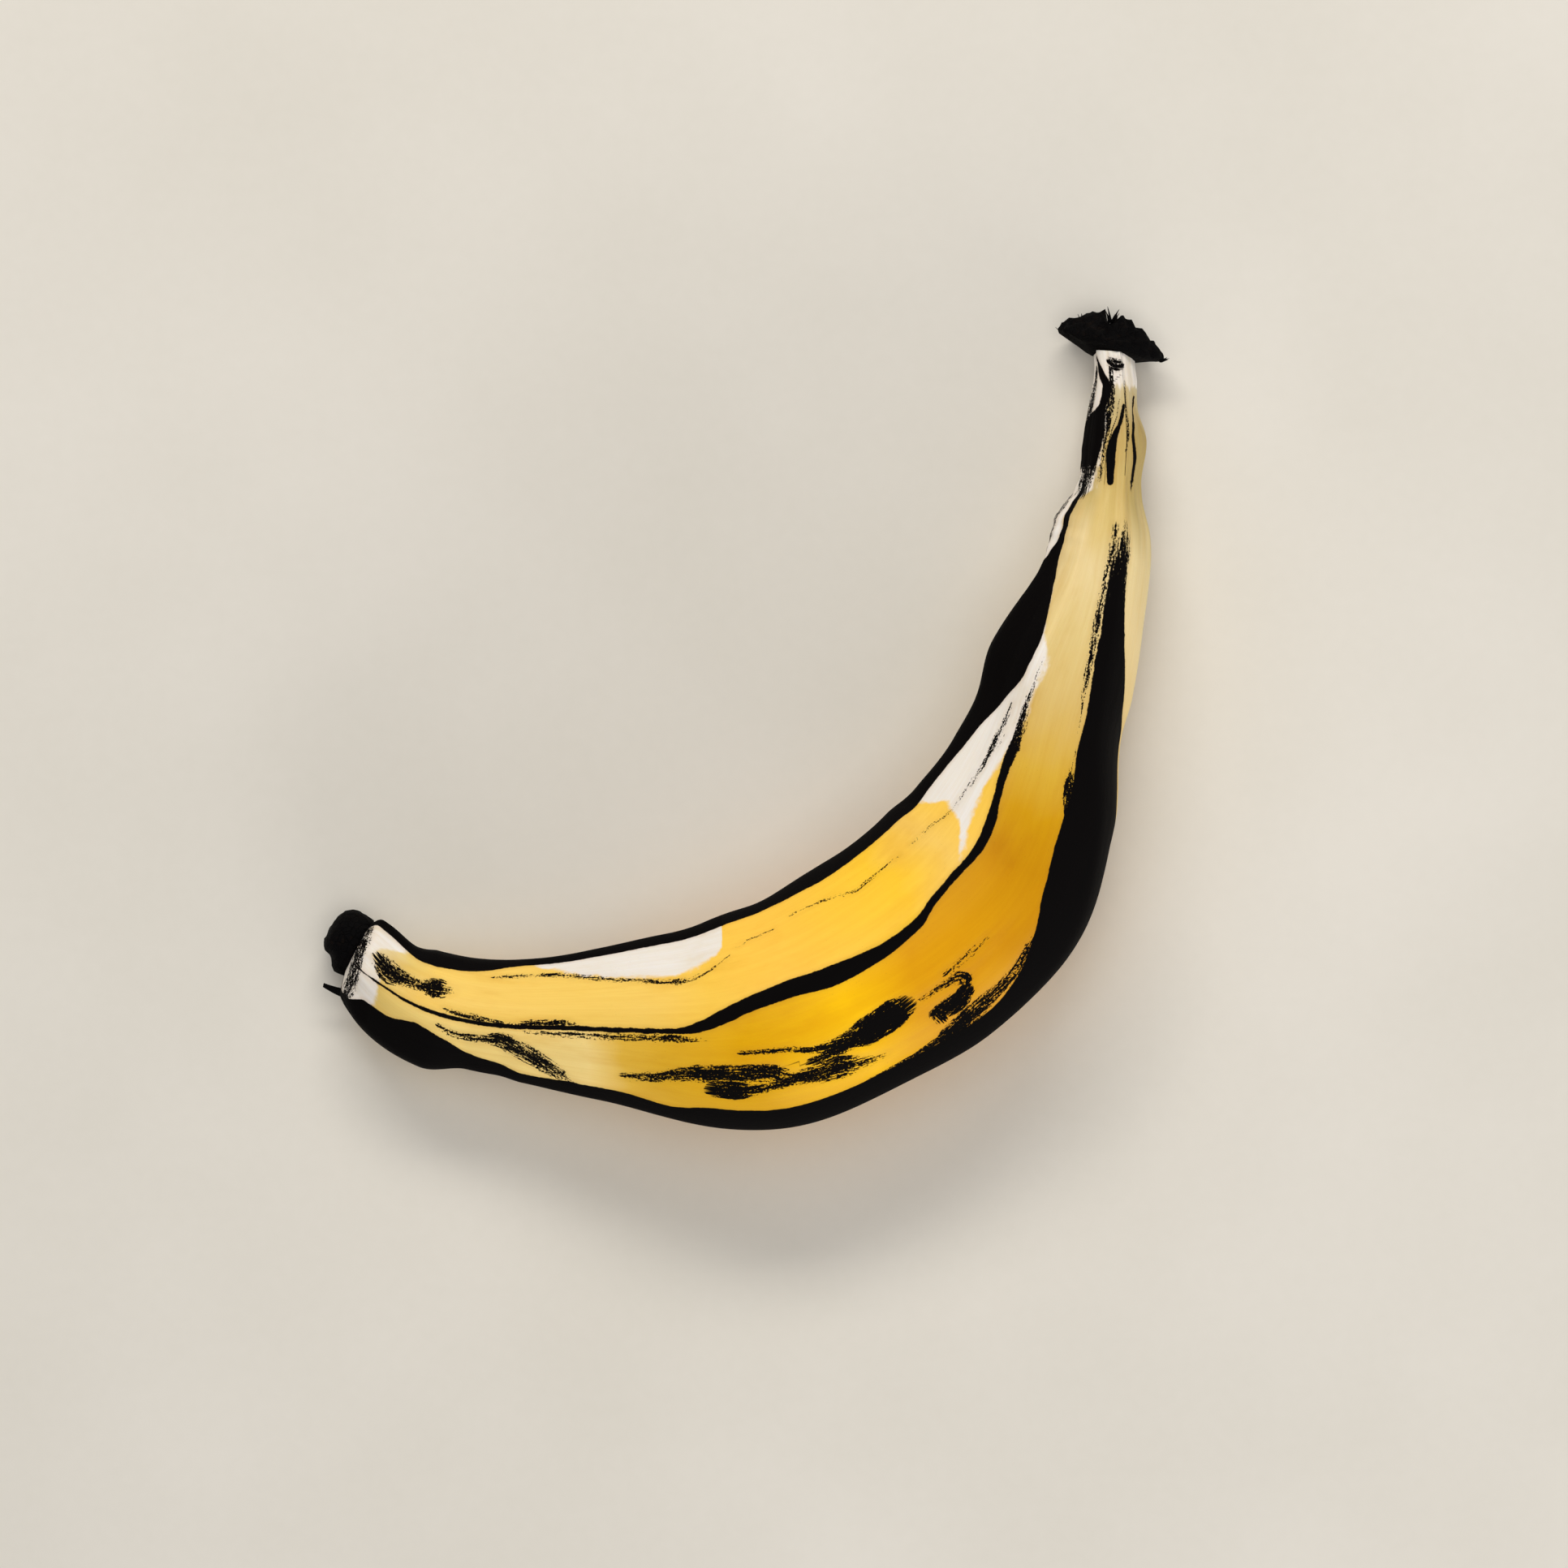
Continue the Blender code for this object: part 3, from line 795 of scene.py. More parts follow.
def skin_relief(place_mm, angle):
    """Millimetres that the skin stands out from its smooth section."""
    # Fibres and grooves are noise that is drawn out along the straightened fruit.
    straight = straightened(place_mm, angle)
    side = np.cos(np.radians(angle))
    relief = sum(height * noise_at(straight, size, seed) for height, size, seed in SWELLS)
    relief += FIBRE_RELIEF * noise_at(straight * (0.05, 1.0, 1.0), 1.6, 5.7)
    relief -= TUCK_DEPTH * np.clip((TUCK_START - place_mm) / TUCK_LENGTH, 0, 1) ** 2
    pleats = np.cos(np.radians(angle * PLEATS) + 1.6 * noise_at(straight, 5.0, 1.7))
    relief += PLEAT_RELIEF * bell(place_mm, PLEAT_PLACE, PLEAT_SPREAD) * pleats
    grooves = noise_at(straight * (0.04, 1.0, 1.0), 4.2, 12.5)
    relief += GROOVE_RELIEF * smooth_between(GROOVED, place_mm) * grooves
    at_bend = bell(place_mm, CREASE_PLACE, CREASE_SPREAD) * np.clip(-side, 0, 1)
    relief += CREASE_RELIEF * at_bend * np.sin(place_mm * 2.1 + 1.4 * noise_at(straight, 4.0, 8.8))
    relief += smooth_between(OUTER_SWELL, place_mm) * np.clip(side, 0, 1)
    relief += smooth_between(INNER_SWELL, place_mm) * np.clip(-side, 0, 1)
    return relief - SUNK_RELIEF * sunk_marks(place_mm, angle)


# %% [markdown]
# ## Roll a sheet into the skin
#
# The skin could be a chain of extruded rings, but a flat grid is easier to think about:
# one way of the sheet runs along the fruit, the other goes round it. Every column belongs
# to a facet, so a ridge always runs along a line of edges. The sheet is rolled up, its
# two long sides are merged, and the ends are closed where other pieces cover them.

# %% Where each point of the sheet goes
ROWS = 552
FACET_COLUMNS = 35
COLUMNS = FACET_COLUMNS * len(RIDGES)
SKIN_START = 0.0056
SKIN_FINISH = STEM_END + 0.0022
SEAM_DISTANCE = 0.000002


def fitted(line, half):
    """Each row of a line moved and scaled to reach from -half to half."""
    low, high = line.min(axis=1, keepdims=True), line.max(axis=1, keepdims=True)
    return (line - (low + high) / 2) / (high - low) * 2 * half[:, None]


def skin_grid():
    """Places, angles and points of the rolled sheet, as rows by columns."""
    places = np.linspace(SKIN_START, SKIN_FINISH, ROWS + 1)
    ridges = np.stack([smooth_between(rows, places / MM) for rows in RIDGES], axis=-1)
    ridges = np.column_stack([ridges, ridges[:, 0] + 360])
    columns = np.arange(COLUMNS + 1)
    facet = np.minimum(columns // FACET_COLUMNS, len(RIDGES) - 1)
    share = columns / FACET_COLUMNS - facet
    angle = ridges[:, facet] + (ridges[:, facet + 1] - ridges[:, facet]) * share
    strength = smooth_between(RIDGE_STRENGTHS, places / MM)[:, None]
    radius = facet_radius(share[None, :], strength)
    middle, outward, half_width, half_thick = section_frame(places)
    across = fitted(radius * np.cos(np.radians(angle)), half_width)
    upward = fitted(radius * np.sin(np.radians(angle)), half_thick)
    place_grid = np.repeat(places[:, None], COLUMNS + 1, axis=1)
    relief = skin_relief(place_grid.ravel() / MM, angle.ravel()).reshape(angle.shape) * MM
    relief[:, -1] = relief[:, 0]
    swell = 1 + relief / np.hypot(across, upward)
    points = middle[:, None, :] + outward[:, None, :] * (across * swell)[:, :, None]
    points[:, :, 2] += upward * swell
    points += FRAME_MOVE
    points[:, :, 2] = np.maximum(points[:, :, 2], 0.0)
    return place_grid, angle, points


# %% Roll the sheet
place_grid, angle_grid, point_grid = skin_grid()
sheet = bmesh.new()
sheet.loops.layers.uv.new("skin")
bmesh.ops.create_grid(sheet, x_segments=ROWS, y_segments=COLUMNS, size=0.5, calc_uvs=True)
along_layer = sheet.verts.layers.float.new("along")
around_layer = sheet.verts.layers.float.new("around")
for corner in sheet.verts:
    row = round((corner.co.x + 0.5) * ROWS)
    column = round((corner.co.y + 0.5) * COLUMNS)
    corner[along_layer] = place_grid[row, column]
    corner[around_layer] = angle_grid[row, column]
    corner.co = point_grid[row, column]
rims = [edge for edge in sheet.edges if edge.is_boundary]
bmesh.ops.remove_doubles(sheet, verts=list({v for e in rims for v in e.verts}), dist=SEAM_DISTANCE)
rims = [edge for edge in sheet.edges if edge.is_boundary]
bmesh.ops.holes_fill(sheet, edges=rims, sides=0)
bmesh.ops.recalc_face_normals(sheet, faces=sheet.faces[:])
# The skin's material is empty for now. Its nodes need the attributes that come next.
skin, tree, shader = new_material("banana_skin_ripe")
peel = make_object(sheet, "peel", skin)
skin_mesh = peel.data
skin_mesh.shade_smooth()
skin_mesh.calc_loop_triangles()
print("The peel has", len(skin_mesh.loop_triangles), "triangles")

# %% [markdown]
# ## Store what the shader needs
#
# The shader reads everything from named attributes on the mesh's points: the straightened
# place, for patterns that follow the bend, the bands, the bruises, and the pale patches:
# painted highlights on the inner side, and the pale ends of the fruit.

# %% Where the skin is pale: painted highlights, and the pale ends
# The pale patches are painted highlights. They reach inwards from this angle, at places
# along the fruit.
PALE_ANGLE = (
    (28, 190), (34, 165), (39, 148), (50, 130), (59, 126), (64, 129), (66.5, 133), (69.5, 141),
    (72, 186), (108, 190), (114, 106), (117, 108), (124, 115), (130, 118), (136, 116), (141, 108),
    (153, 105), (158, 118), (164, 132), (168, 146), (174, 147), (180, 150), (183, 118), (200, 107),
    (206, 100),
)
# The second patch starts this far along, at angles round the fruit.
PALE_START = (
    (100, 115), (108, 117), (114, 120), (122, 123), (140, 125), (156, 122), (165, 119), (180, 114),
)
# The fruit is pale up to here at its blossom end, and from STEM_PALE at its stem.
TIP_PALE = (
    (-60, 12), (20, 14), (67, 13), (80, 11.5), (100, 8.6), (122, 10.4), (131, 12), (180, 12),
)
STEM_PALE = 199.6
# The patches go no further round than this, under the blackened inner ridge.
PALE_LIMIT = 189
# Places along the fruit: between the two patches, and past the second one's start.
PALE_PARTING = 95
PALE_STARTED = 160
# Distances are held to this, so that they stay even between the mesh's points.
PALE_REACH = 8.0


def highlight_and_pale_end_field(place, angle):
    """Millimetres inside the nearest painted highlight or pale end, below zero outside it."""
    around = (angle - smooth_between(PALE_ANGLE, place)) * degree_length(place)
    starting = (place > PALE_PARTING) & (place <= PALE_STARTED)
    started = np.where(starting, place - smooth_between(PALE_START, angle), PALE_REACH)
    hidden_side = (PALE_LIMIT - angle) * degree_length(place)
    patches = np.minimum(np.minimum(around, started), hidden_side)
    ends = np.maximum(smooth_between(TIP_PALE, angle) - place, place - STEM_PALE)
    return np.clip(np.maximum(patches, ends), -PALE_REACH, PALE_REACH)


# %% Write the attributes


def read_points(mesh, name):
    """A float attribute of the mesh's points as an array."""
    values = np.zeros(len(mesh.vertices), np.float32)
    mesh.attributes[name].data.foreach_get("value", values)
    return values.astype(float)


def write_points(mesh, name, values):
    """Stores an array on the mesh's points, as floats or as vectors."""
    kind = "FLOAT_VECTOR" if values.ndim == 2 else "FLOAT"
    field = "vector" if values.ndim == 2 else "value"
    attribute = mesh.attributes.new(name, kind, "POINT")
    attribute.data.foreach_set(field, np.ascontiguousarray(values, np.float32).ravel())


place_mm = read_points(skin_mesh, "along") / MM
angle_round = read_points(skin_mesh, "around")
write_points(skin_mesh, "straight", straightened(place_mm, angle_round))
for name, rows in BANDS.items():
    write_points(skin_mesh, "band_" + name, band_field(rows, place_mm, angle_round))
for name, bruises in BRUISES.items():
    shape, extra = bruise_field(bruises, place_mm, angle_round)
    write_points(skin_mesh, "bruise_" + name, shape)
    write_points(skin_mesh, "bruise_" + name + "_more", extra)
write_points(skin_mesh, "pale", highlight_and_pale_end_field(place_mm, angle_round))
print("Stored on its points:", [a.name for a in skin_mesh.attributes if a.domain == "POINT"])

# %% [markdown]
# ## Effects that several materials share
#
# Skin, crown and blossom end are all dried plant fibre to some degree, so the grain of
# long fibres is one node group. Another draws a blackened mark from a distance, a half
# width and a dryness: a dry mark breaks up into streaks that follow the fibres.

# %% The fibre grain
grain_group, start, end = new_group(
    "fibre_grain",
    (("Place", "Vector"), ("Length", "Float"), ("Width", "Float")),
    (("Streaks", "Float"), ("Pores", "Float")),
)
by_length, by_width = [maths(grain_group, "DIVIDE", 1.0, start[name]) for name in ("Length", "Width")]
squeeze = node(grain_group, "CombineXYZ", {0: by_length, 1: by_width, 2: by_width}).outputs[0]
long_place = stretch(grain_group, start["Place"], squeeze)
coarse = noise_value(grain_group, long_place, 0.55, 3.0, 0.6)
fine = noise_value(grain_group, long_place, 2.1)
pore_place = stretch(grain_group, start["Place"], (0.55, 1.5, 1.5))
cells = node(grain_group, "TexVoronoi", {"Vector": pore_place, "Scale": 1.0}).outputs["Distance"]
pores = remap(grain_group, cells, 0.10, 0.30, 1.0, 0.0)
feed(grain_group, end, {"Streaks": weighed(grain_group, fine, coarse, 0.4), "Pores": pores})

# %% The blackened mark
NUMBERS = ("Offset", "Past", "Half Width", "Dryness")
mark_group, start, end = new_group(
    "blackened_mark",
    [(name, "Float") for name in NUMBERS] + [("Place", "Vector")],
    (("Mask", "Float"), ("Rim", "Float")),
)
slow = noise_value(mark_group, start["Place"], 0.55)
speckle = noise_value(mark_group, start["Place"], 2.6, 3.0, 0.75)
brush_place = stretch(mark_group, start["Place"], (0.30, 2.4, 2.4))
bristles = noise_value(mark_group, brush_place, 1.0, 3.0, 0.7)
offset_squared, past_squared, half_squared = [
    maths(mark_group, "MULTIPLY", start[name], start[name]) for name in NUMBERS[:3]
]
distance_squared = maths(mark_group, "ADD", offset_squared, past_squared)
inside = maths(mark_group, "SUBTRACT", start["Half Width"], maths(mark_group, "SQRT", distance_squared))
for grit, least, most in ((slow, 0.30, 1.3), (speckle, 0.20, 1.1)):
    reach = maths(mark_group, "MULTIPLY_ADD", start["Dryness"], most, least)
    inside = wander(mark_group, inside, grit, reach)
solid = remap(mark_group, inside, -0.05, 0.08)

# A dry mark keeps only the streaks that pass a threshold, and wears most towards its edge.
outward = maths(mark_group, "DIVIDE", distance_squared, maths(mark_group, "MAXIMUM", half_squared, 0.01))
wear = maths(mark_group, "MULTIPLY_ADD", maths(mark_group, "MINIMUM", outward, 1.5), 0.24, 0.52)
threshold = maths(mark_group, "MULTIPLY_ADD", start["Dryness"], wear, 0.16)
brushed = weighed(mark_group, speckle, bristles, 0.5)
kept = remap(mark_group, maths(mark_group, "SUBTRACT", brushed, threshold), -0.01, 0.03)
halo = remap(mark_group, inside, -0.9, 0.2)
rim = maths(mark_group, "SUBTRACT", halo, maths(mark_group, "MULTIPLY", halo, start["Dryness"]))
feed(mark_group, end, {"Mask": maths(mark_group, "MULTIPLY", solid, kept), "Rim": rim})
print("Shared effects:", [group.name for group in bpy.data.node_groups])

# %% [markdown]
# ## The skin's material
#
# Ripe skin isn't one yellow. It pales to cream at both ends, deepens to amber low on the
# belly and turns olive on the stem. Two colour ramps along the fruit, one for the facet
# above the top ridge and one for the facet below it, hold those colours, and a third the
# rest. They also hold painted light and shade: the facet below the top ridge is a deeper
# amber partly as painted shade, and each ramp is lighter or darker to offset the light
# that its facet gets from the lamps. Slow noise lets them drift, fibres and pores add the
# fine grain, and the marks are laid over them all. The straightened place is in
# millimetres, so a noise whose scale is 0.25 has lumps of about 4 mm.

# %% Tints along the fruit: millimetres, colour
# The facet above the top ridge faces the light. Painted light: its tints are tuned against the light it
# gets.
ABOVE_TINTS = (
    (6, "e8dab4"), (13, "e4c571"), (20, "f6cd66"), (55, "f7cd62"), (66, "fbcb4e"), (80, "ffc94c"),
    (104, "ffcb33"), (114, "f9cd64"), (122, "fbcb54"), (131, "f7c84e"), (140, "ebc872"),
    (150, "e4c985"), (172, "e6cd94"), (182, "c6ae6e"), (190, "bda265"), (199, "c9b683"),
    (204, "ded2b2"),
)
# The facet below the top ridge: a deeper amber that is partly painted shade, with tints raised to offset
# the lamps' shade.
BELOW_TINTS_AND_SHADE = (
    (6, "e8dab4"), (13, "e0c06c"), (20, "f7d57c"), (45, "ffde8c"), (53, "eebf45"), (60, "e8b42c"),
    (72, "e4aa04"), (88, "fdc300"), (100, "e09d00"), (110, "dc9b00"), (122, "c98b00"),
    (130, "d09808"), (137, "d8ac38"), (148, "d9b86c"), (158, "e2c886"), (168, "e7cf96"),
    (174, "dcc079"), (182, "d4b870"), (192, "ceb06b"), (199, "c9b683"), (204, "ded2b2"),
)
# The rest, which faces away from the light. Painted light: its tints are raised to offset the lamps'
# shade.
UNDER_TINTS = (
    (6, "e8dab4"), (20, "ecc868"), (60, "efba3a"), (105, "eab02c"), (135, "e4c068"),
    (160, "f4dba0"), (172, "ead49c"), (182, "c0a868"), (192, "b59d60"), (204, "d8caa4"),
)

# %% The ground colour


def along_ramp(tree, along, tints):
    """A ramp of tints that are placed by millimetres along the fruit."""
    length = CROWN_END / MM
    share = maths(tree, "DIVIDE", along, length)
    return ramp(tree, share, [(place / length, code) for place, code in tints])


# The drift moves a tint by up to half of this many millimetres.
TINT_DRIFT = 18.0
straight = stored(tree, "straight")
along = parts(tree, straight)["X"]
drift = noise_value(tree, stretch(tree, straight, (0.6, 1.0, 1.0)), 0.055, 3.0, 0.55)
drifted = wander(tree, along, drift, TINT_DRIFT)
bands = {name: parts(tree, stored(tree, "band_" + name)) for name in BANDS}
top_offset, outer_offset, inner_offset = [bands[name]["X"] for name in ("top", "outer", "inner")]
above, below, under = [
    along_ramp(tree, drifted, tints) for tints in (ABOVE_TINTS, BELOW_TINTS_AND_SHADE, UNDER_TINTS)
]
ground = mix_colours(tree, remap(tree, top_offset, -0.9, 0.9), below, above)
below_outer = remap(tree, outer_offset, -2.0, 2.0, 1.0, 0.0)
below_inner = remap(tree, inner_offset, 1.0, 4.0)
ground = mix_colours(tree, maths(tree, "MAXIMUM", below_outer, below_inner), ground, under)

# %% Pale patches of painted highlight, drifting tone, fibres and pores
pale_noise = noise_value(tree, straight, 0.28, 3.0, 0.6)
pale_edge = wander(tree, stored(tree, "pale", "Fac"), pale_noise, 3.4)
highlight_and_pale_end_mask = remap(tree, pale_edge, -0.5, 0.6)
# Painted highlight: the pale patches on the inner side, and the pale ends, turn to near-white cream.
ground = mix_colours(tree, highlight_and_pale_end_mask, ground, linear("ede6dc"))
deep = mix_colours(tree, 1.0, ground, (0.86, 0.74, 0.52, 1.0), "MULTIPLY")
blotch = noise_value(tree, stretch(tree, straight, (0.45, 1.0, 1.0)), 0.13, 4.0, 0.6)
ground = mix_colours(tree, remap(tree, blotch, 0.46, 0.74, 0.0, 0.60), ground, deep)
grain = place_group(tree, grain_group, {"Place": straight, "Length": 16.0, "Width": 0.75})
fibre_tone = remap(tree, grain["Streaks"], 0.30, 0.72, 0.30, 0.0)
ground = mix_colours(tree, fibre_tone, ground, deep)
freckle_place = stretch(tree, straight, (0.30, 0.42, 0.42))
freckle_cells = node(tree, "TexVoronoi", {"Vector": freckle_place, "Randomness": 1.0})
freckles = remap(tree, freckle_cells.outputs["Distance"], 0.035, 0.085, 1.0, 0.0)
ripe_zone = remap(tree, noise_value(tree, straight, 0.09), 0.48, 0.62)
freckle_mask = maths(tree, "MULTIPLY", maths(tree, "MULTIPLY", freckles, ripe_zone), 0.8)
ground = mix_colours(tree, freckle_mask, ground, linear("6b4312"))

# %% Blackened ridges and bruises


def blackened(across, past, half, dryness, place):
    """The mask and the rim of one mark."""
    values = {"Offset": across, "Past": past, "Half Width": half, "Dryness": dryness, "Place": place}
    mark = place_group(tree, mark_group, values)
    return mark["Mask"], mark["Rim"]


def strongest(values):
    """The largest of several values."""
    result = values[0]
    for value in values[1:]:
        result = maths(tree, "MAXIMUM", result, value)
    return result


marks = [blackened(offset, 0.0, half, dryness, straight) for offset, half, dryness in bands.values()]
for name in BRUISES:
    run, across, half = parts(tree, stored(tree, "bruise_" + name))
    near, past, dryness = parts(tree, stored(tree, f"bruise_{name}_more"))
    brushed = node(tree, "CombineXYZ", {0: run, 1: across}).outputs[0]
    mark = blackened(across, past, half, dryness, brushed)
    marks.append([maths(tree, "MULTIPLY", value, near) for value in mark])

masks, rims = zip(*marks)
black = strongest(masks)
browning = maths(tree, "MULTIPLY", strongest(rims), 0.22)
ground = mix_colours(tree, browning, ground, linear("a8701c"))
soot = mix_colours(tree, grain["Streaks"], linear("020101"), linear("080504"))
ground = mix_colours(tree, black, ground, soot)

# %% Gloss and relief of the skin
dull = maths(tree, "MULTIPLY_ADD", grain["Streaks"], 0.18, 0.36)
roughness = maths(tree, "MULTIPLY_ADD", black, 0.44, dull)
roughness = maths(tree, "MULTIPLY_ADD", highlight_and_pale_end_mask, 0.10, roughness)
wax = maths(tree, "MULTIPLY_ADD", black, -0.10, 0.10)
wrinkle = noise_value(tree, stretch(tree, straight, (0.5, 1.1, 1.1)), 1.3, 3.0, 0.6)
height = maths(tree, "MULTIPLY", grain["Streaks"], 0.55)
height = maths(tree, "MULTIPLY_ADD", grain["Pores"], -0.16, height)
height = maths(tree, "MULTIPLY_ADD", maths(tree, "MULTIPLY", wrinkle, black), 0.9, height)
height = maths(tree, "MULTIPLY_ADD", black, -0.35, height)
bump = node(tree, "Bump", {"Height": height, "Strength": 0.5, "Distance": 0.00012})
feed(
    tree,
    shader,
    {
        "Base Color": ground,
        "Roughness": roughness,
        "Specular IOR Level": 0.07,
        "Coat Weight": wax,
        "Coat Roughness": 0.34,
        "Subsurface Weight": 0.06,
        "Subsurface Radius": (1.0, 0.6, 0.2),
        "Subsurface Scale": 0.0012,
        "Normal": bump.outputs["Normal"],
    },
)
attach(peel, "root")
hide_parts("banana")
print("The skin's material has", len(tree.nodes), "nodes")

# %% [markdown]
# ## Dried plant matter
#
# The blossom end and the crown have both dried until they are black and cracked. One
# material serves both and the loose fibres: a black that browns on its high places, dull
# all over, with long cracks along the fibres.

# %% The dried material
dried, tree, shader = new_material("dried_plant")
place = node(tree, "TexCoord").outputs["Object"]
place_in_mm = stretch(tree, place, (1 / MM, 1 / MM, 1 / MM))
crust = noise_value(tree, place_in_mm, 0.9, 5.0, 0.65)
cracks = node(
    tree, "TexVoronoi", {"Vector": place_in_mm, "Scale": 0.9}, feature="DISTANCE_TO_EDGE"
).outputs["Distance"]
open_cracks = remap(tree, cracks, 0.0, 0.09, 1.0, 0.0)
dried_grain = place_group(tree, grain_group, {"Place": place_in_mm, "Length": 4.0, "Width": 1.2})
high_places = remap(tree, crust, 0.50, 0.78)
torn_streaks = remap(tree, dried_grain["Streaks"], 0.56, 0.78, 0.0, 0.6)
dark = mix_colours(tree, high_places, linear("030202"), linear("120b07"))
dark = mix_colours(tree, torn_streaks, dark, linear("1e130b"))
dark = mix_colours(tree, maths(tree, "MULTIPLY", open_cracks, 0.8), dark, linear("020101"))
relief = maths(tree, "MULTIPLY_ADD", open_cracks, -0.6, crust)
relief = maths(tree, "MULTIPLY_ADD", dried_grain["Streaks"], 0.6, relief)
bump = node(tree, "Bump", {"Height": relief, "Strength": 0.8, "Distance": 0.0003})
feed(
    tree,
    shader,
    {
        "Base Color": dark,
        "Roughness": maths(tree, "MULTIPLY_ADD", crust, 0.26, 0.72),
        "Specular IOR Level": 0.07,
        "Normal": bump.outputs["Normal"],
    },
)

# %% What each dried piece needs last


def finish_piece(shape, name):
    """Turns a bmesh's faces outwards, makes it a dried piece and rides it on the fruit's body."""
    bmesh.ops.recalc_face_normals(shape, faces=shape.faces[:])
    if shape.calc_volume(signed=True) < 0.0:
        bmesh.ops.reverse_faces(shape, faces=shape.faces[:])
    piece = make_object(shape, name, dried)
    piece.data.shade_smooth()
    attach(piece, "root")
    piece.data.calc_loop_triangles()
    print(name, "has", len(piece.data.loop_triangles), "triangles")


# %% [markdown]
# ## The blossom end
#
# Where the flower dropped off, a blunt black cap stays, as wide as a fingertip's nail. A
# profile is spun into a cap, and then its points are pushed about by noise, more on its
# rim than at its middle, so that it looks shrunken and not turned.

# %% The cap's profile and measures
# The profile: distance from the cap's own axis and place along it, in millimetres.
CAP_PROFILE = (
    (0.0, 0.0), (1.6, 0.1), (3.0, 0.4), (4.1, 1.0), (4.7, 1.9), (5.0, 3.1), (5.1, 4.4), (4.9, 5.6),
    (4.3, 6.3), (2.5, 6.5), (0.0, 6.6),
)
CAP_RADIUS = max(radius for radius, _ in CAP_PROFILE) * MM
CAP_STEPS = 72
# How far the cap is turned from square, in degrees, and set outward, how high its middle
# is over the table, and its thickness as a share of its width.
CAP_LEAN = 6
CAP_SHIFT = 0.0006
CAP_HEIGHT = 0.0055
CAP_FLATNESS = 0.97
# The outward side is pinched in up to the first height, and is a full lobe from the second.
LOBE_START = 0.0022
LOBE_FULL = 0.0034
LOBE_NOTCH = 0.36
LOBE_REACH = 1.05
# How far lumps and crinkles push the skin of the cap, in millimetres, and their sizes.
LUMP_PUSH = 0.30
CRINKLE_PUSH = 0.16
CRINKLE_LIFT = 0.25
LUMP_SIZE = 3.2 * MM
CRINKLE_SIZE = 1.1 * MM

# %% Turn a profile, and carry it to its end of the fruit


def spun(profile, steps):
    """A closed turned shape round Z, cut twice as fine as its (radius, height) profile."""
    shape = bmesh.new()
    corners = [shape.verts.new((radius * MM, 0.0, height * MM)) for radius, height in profile]
    edges = [shape.edges.new(pair) for pair in zip(corners, corners[1:])]
    bmesh.ops.spin(
        shape,
        geom=corners + edges,
        cent=(0.0, 0.0, 0.0),
        axis=(0.0, 0.0, 1.0),
        angle=2 * math.pi,
        steps=steps,
        use_merge=True,
    )
    bmesh.ops.remove_doubles(shape, verts=shape.verts[:], dist=SEAM_DISTANCE)
    bmesh.ops.subdivide_edges(shape, edges=shape.edges[:], cuts=1, use_grid_fill=True)
    return shape


def across_end(place, height, lean):
    """The middle of an end piece, and its outward, upward and forward directions."""
    middle, outward, _, _ = section_frame(np.array([place]), lean)
    middle = Vector(middle[0] + FRAME_MOVE)
    middle.z = height
    outward = Vector(outward[0])
    return middle, outward, Vector((0.0, 0.0, 1.0)), Vector((-outward.y, outward.x, 0.0))


def carry(shape, end, flatness, sideways=0.0):
    """Moves a turned shape from round Z to an end of the fruit, and holds it above the table."""
    middle, outward, upward, forward = end
    for corner in shape.verts:
        x, y, z = corner.co
        corner.co = middle + outward * (x + sideways) + upward * (y * flatness) + forward * z
        corner.co.z = max(corner.co.z, 0.0)


# %% Spin and wrinkle the cap
cap = spun(CAP_PROFILE, CAP_STEPS)
for corner in cap.verts:
    toward_lobe = min(max((corner.co.z - LOBE_START) / (LOBE_FULL - LOBE_START), 0.0), 1.0)
    if corner.co.x > 0.0:
        notch = 1.0 - LOBE_NOTCH * (1.0 - toward_lobe) * corner.co.x / CAP_RADIUS
        corner.co.x *= notch * (1.0 + (LOBE_REACH - 1.0) * toward_lobe)
    lump = noise.noise(corner.co / LUMP_SIZE + Vector((4.0, 1.0, 7.0)))
    crinkle = noise.noise(corner.co / CRINKLE_SIZE)
    outer = Vector((corner.co.x, corner.co.y, 0.0))
    if outer.length > 0.0:
        corner.co += outer.normalized() * (LUMP_PUSH * lump + CRINKLE_PUSH * crinkle) * MM
    corner.co.z += CRINKLE_LIFT * MM * crinkle
cap_end = across_end(0.0, CAP_HEIGHT, CAP_LEAN)
carry(cap, cap_end, CAP_FLATNESS, CAP_SHIFT)
finish_piece(cap, "blossom_cap")

# %% [markdown]
# ## The torn crown
#
# The crown is what is left of the cushion that joined the fruit to its bunch. It tore
# across, so it is a lens of dry fibre with a ragged rim: a spun lens, stretched to an
# oval, with its rim pulled out by coarse noise and its face roughened by fine noise.

# %% The crown's profile and measures
CROWN_PROFILE = (
    (0.0, -2.2), (2.6, -1.9), (4.8, -1.1), (6.8, -0.5), (8.2, -0.1), (8.7, 0.4), (8.3, 1.2),
    (7.3, 2.0), (5.8, 2.9), (4.2, 3.8), (2.2, 4.5), (0.0, 4.7),
)
CROWN_RADIUS = max(radius for radius, _ in CROWN_PROFILE) * MM
CROWN_STEPS = 112
CROWN_RISE = -0.0003
CROWN_HEIGHT = 0.0054
# A point of the face is torn by its height as a share of this, so the middle is torn most.
TORN_HEIGHT = 3.0 * MM
# A low hump and a split in the torn face: place across it, spread and height, in millimetres.
HUMP = (-3.6, 1.5, 0.3)
SPLIT = (-0.9, 0.7, -1.1)
# The inward rim is this much blunter, in millimetres.
BLUNTNESS = 0.9
TEAR_SIZE = 1.5 * MM
CHUNK_SIZE = 4.0 * MM

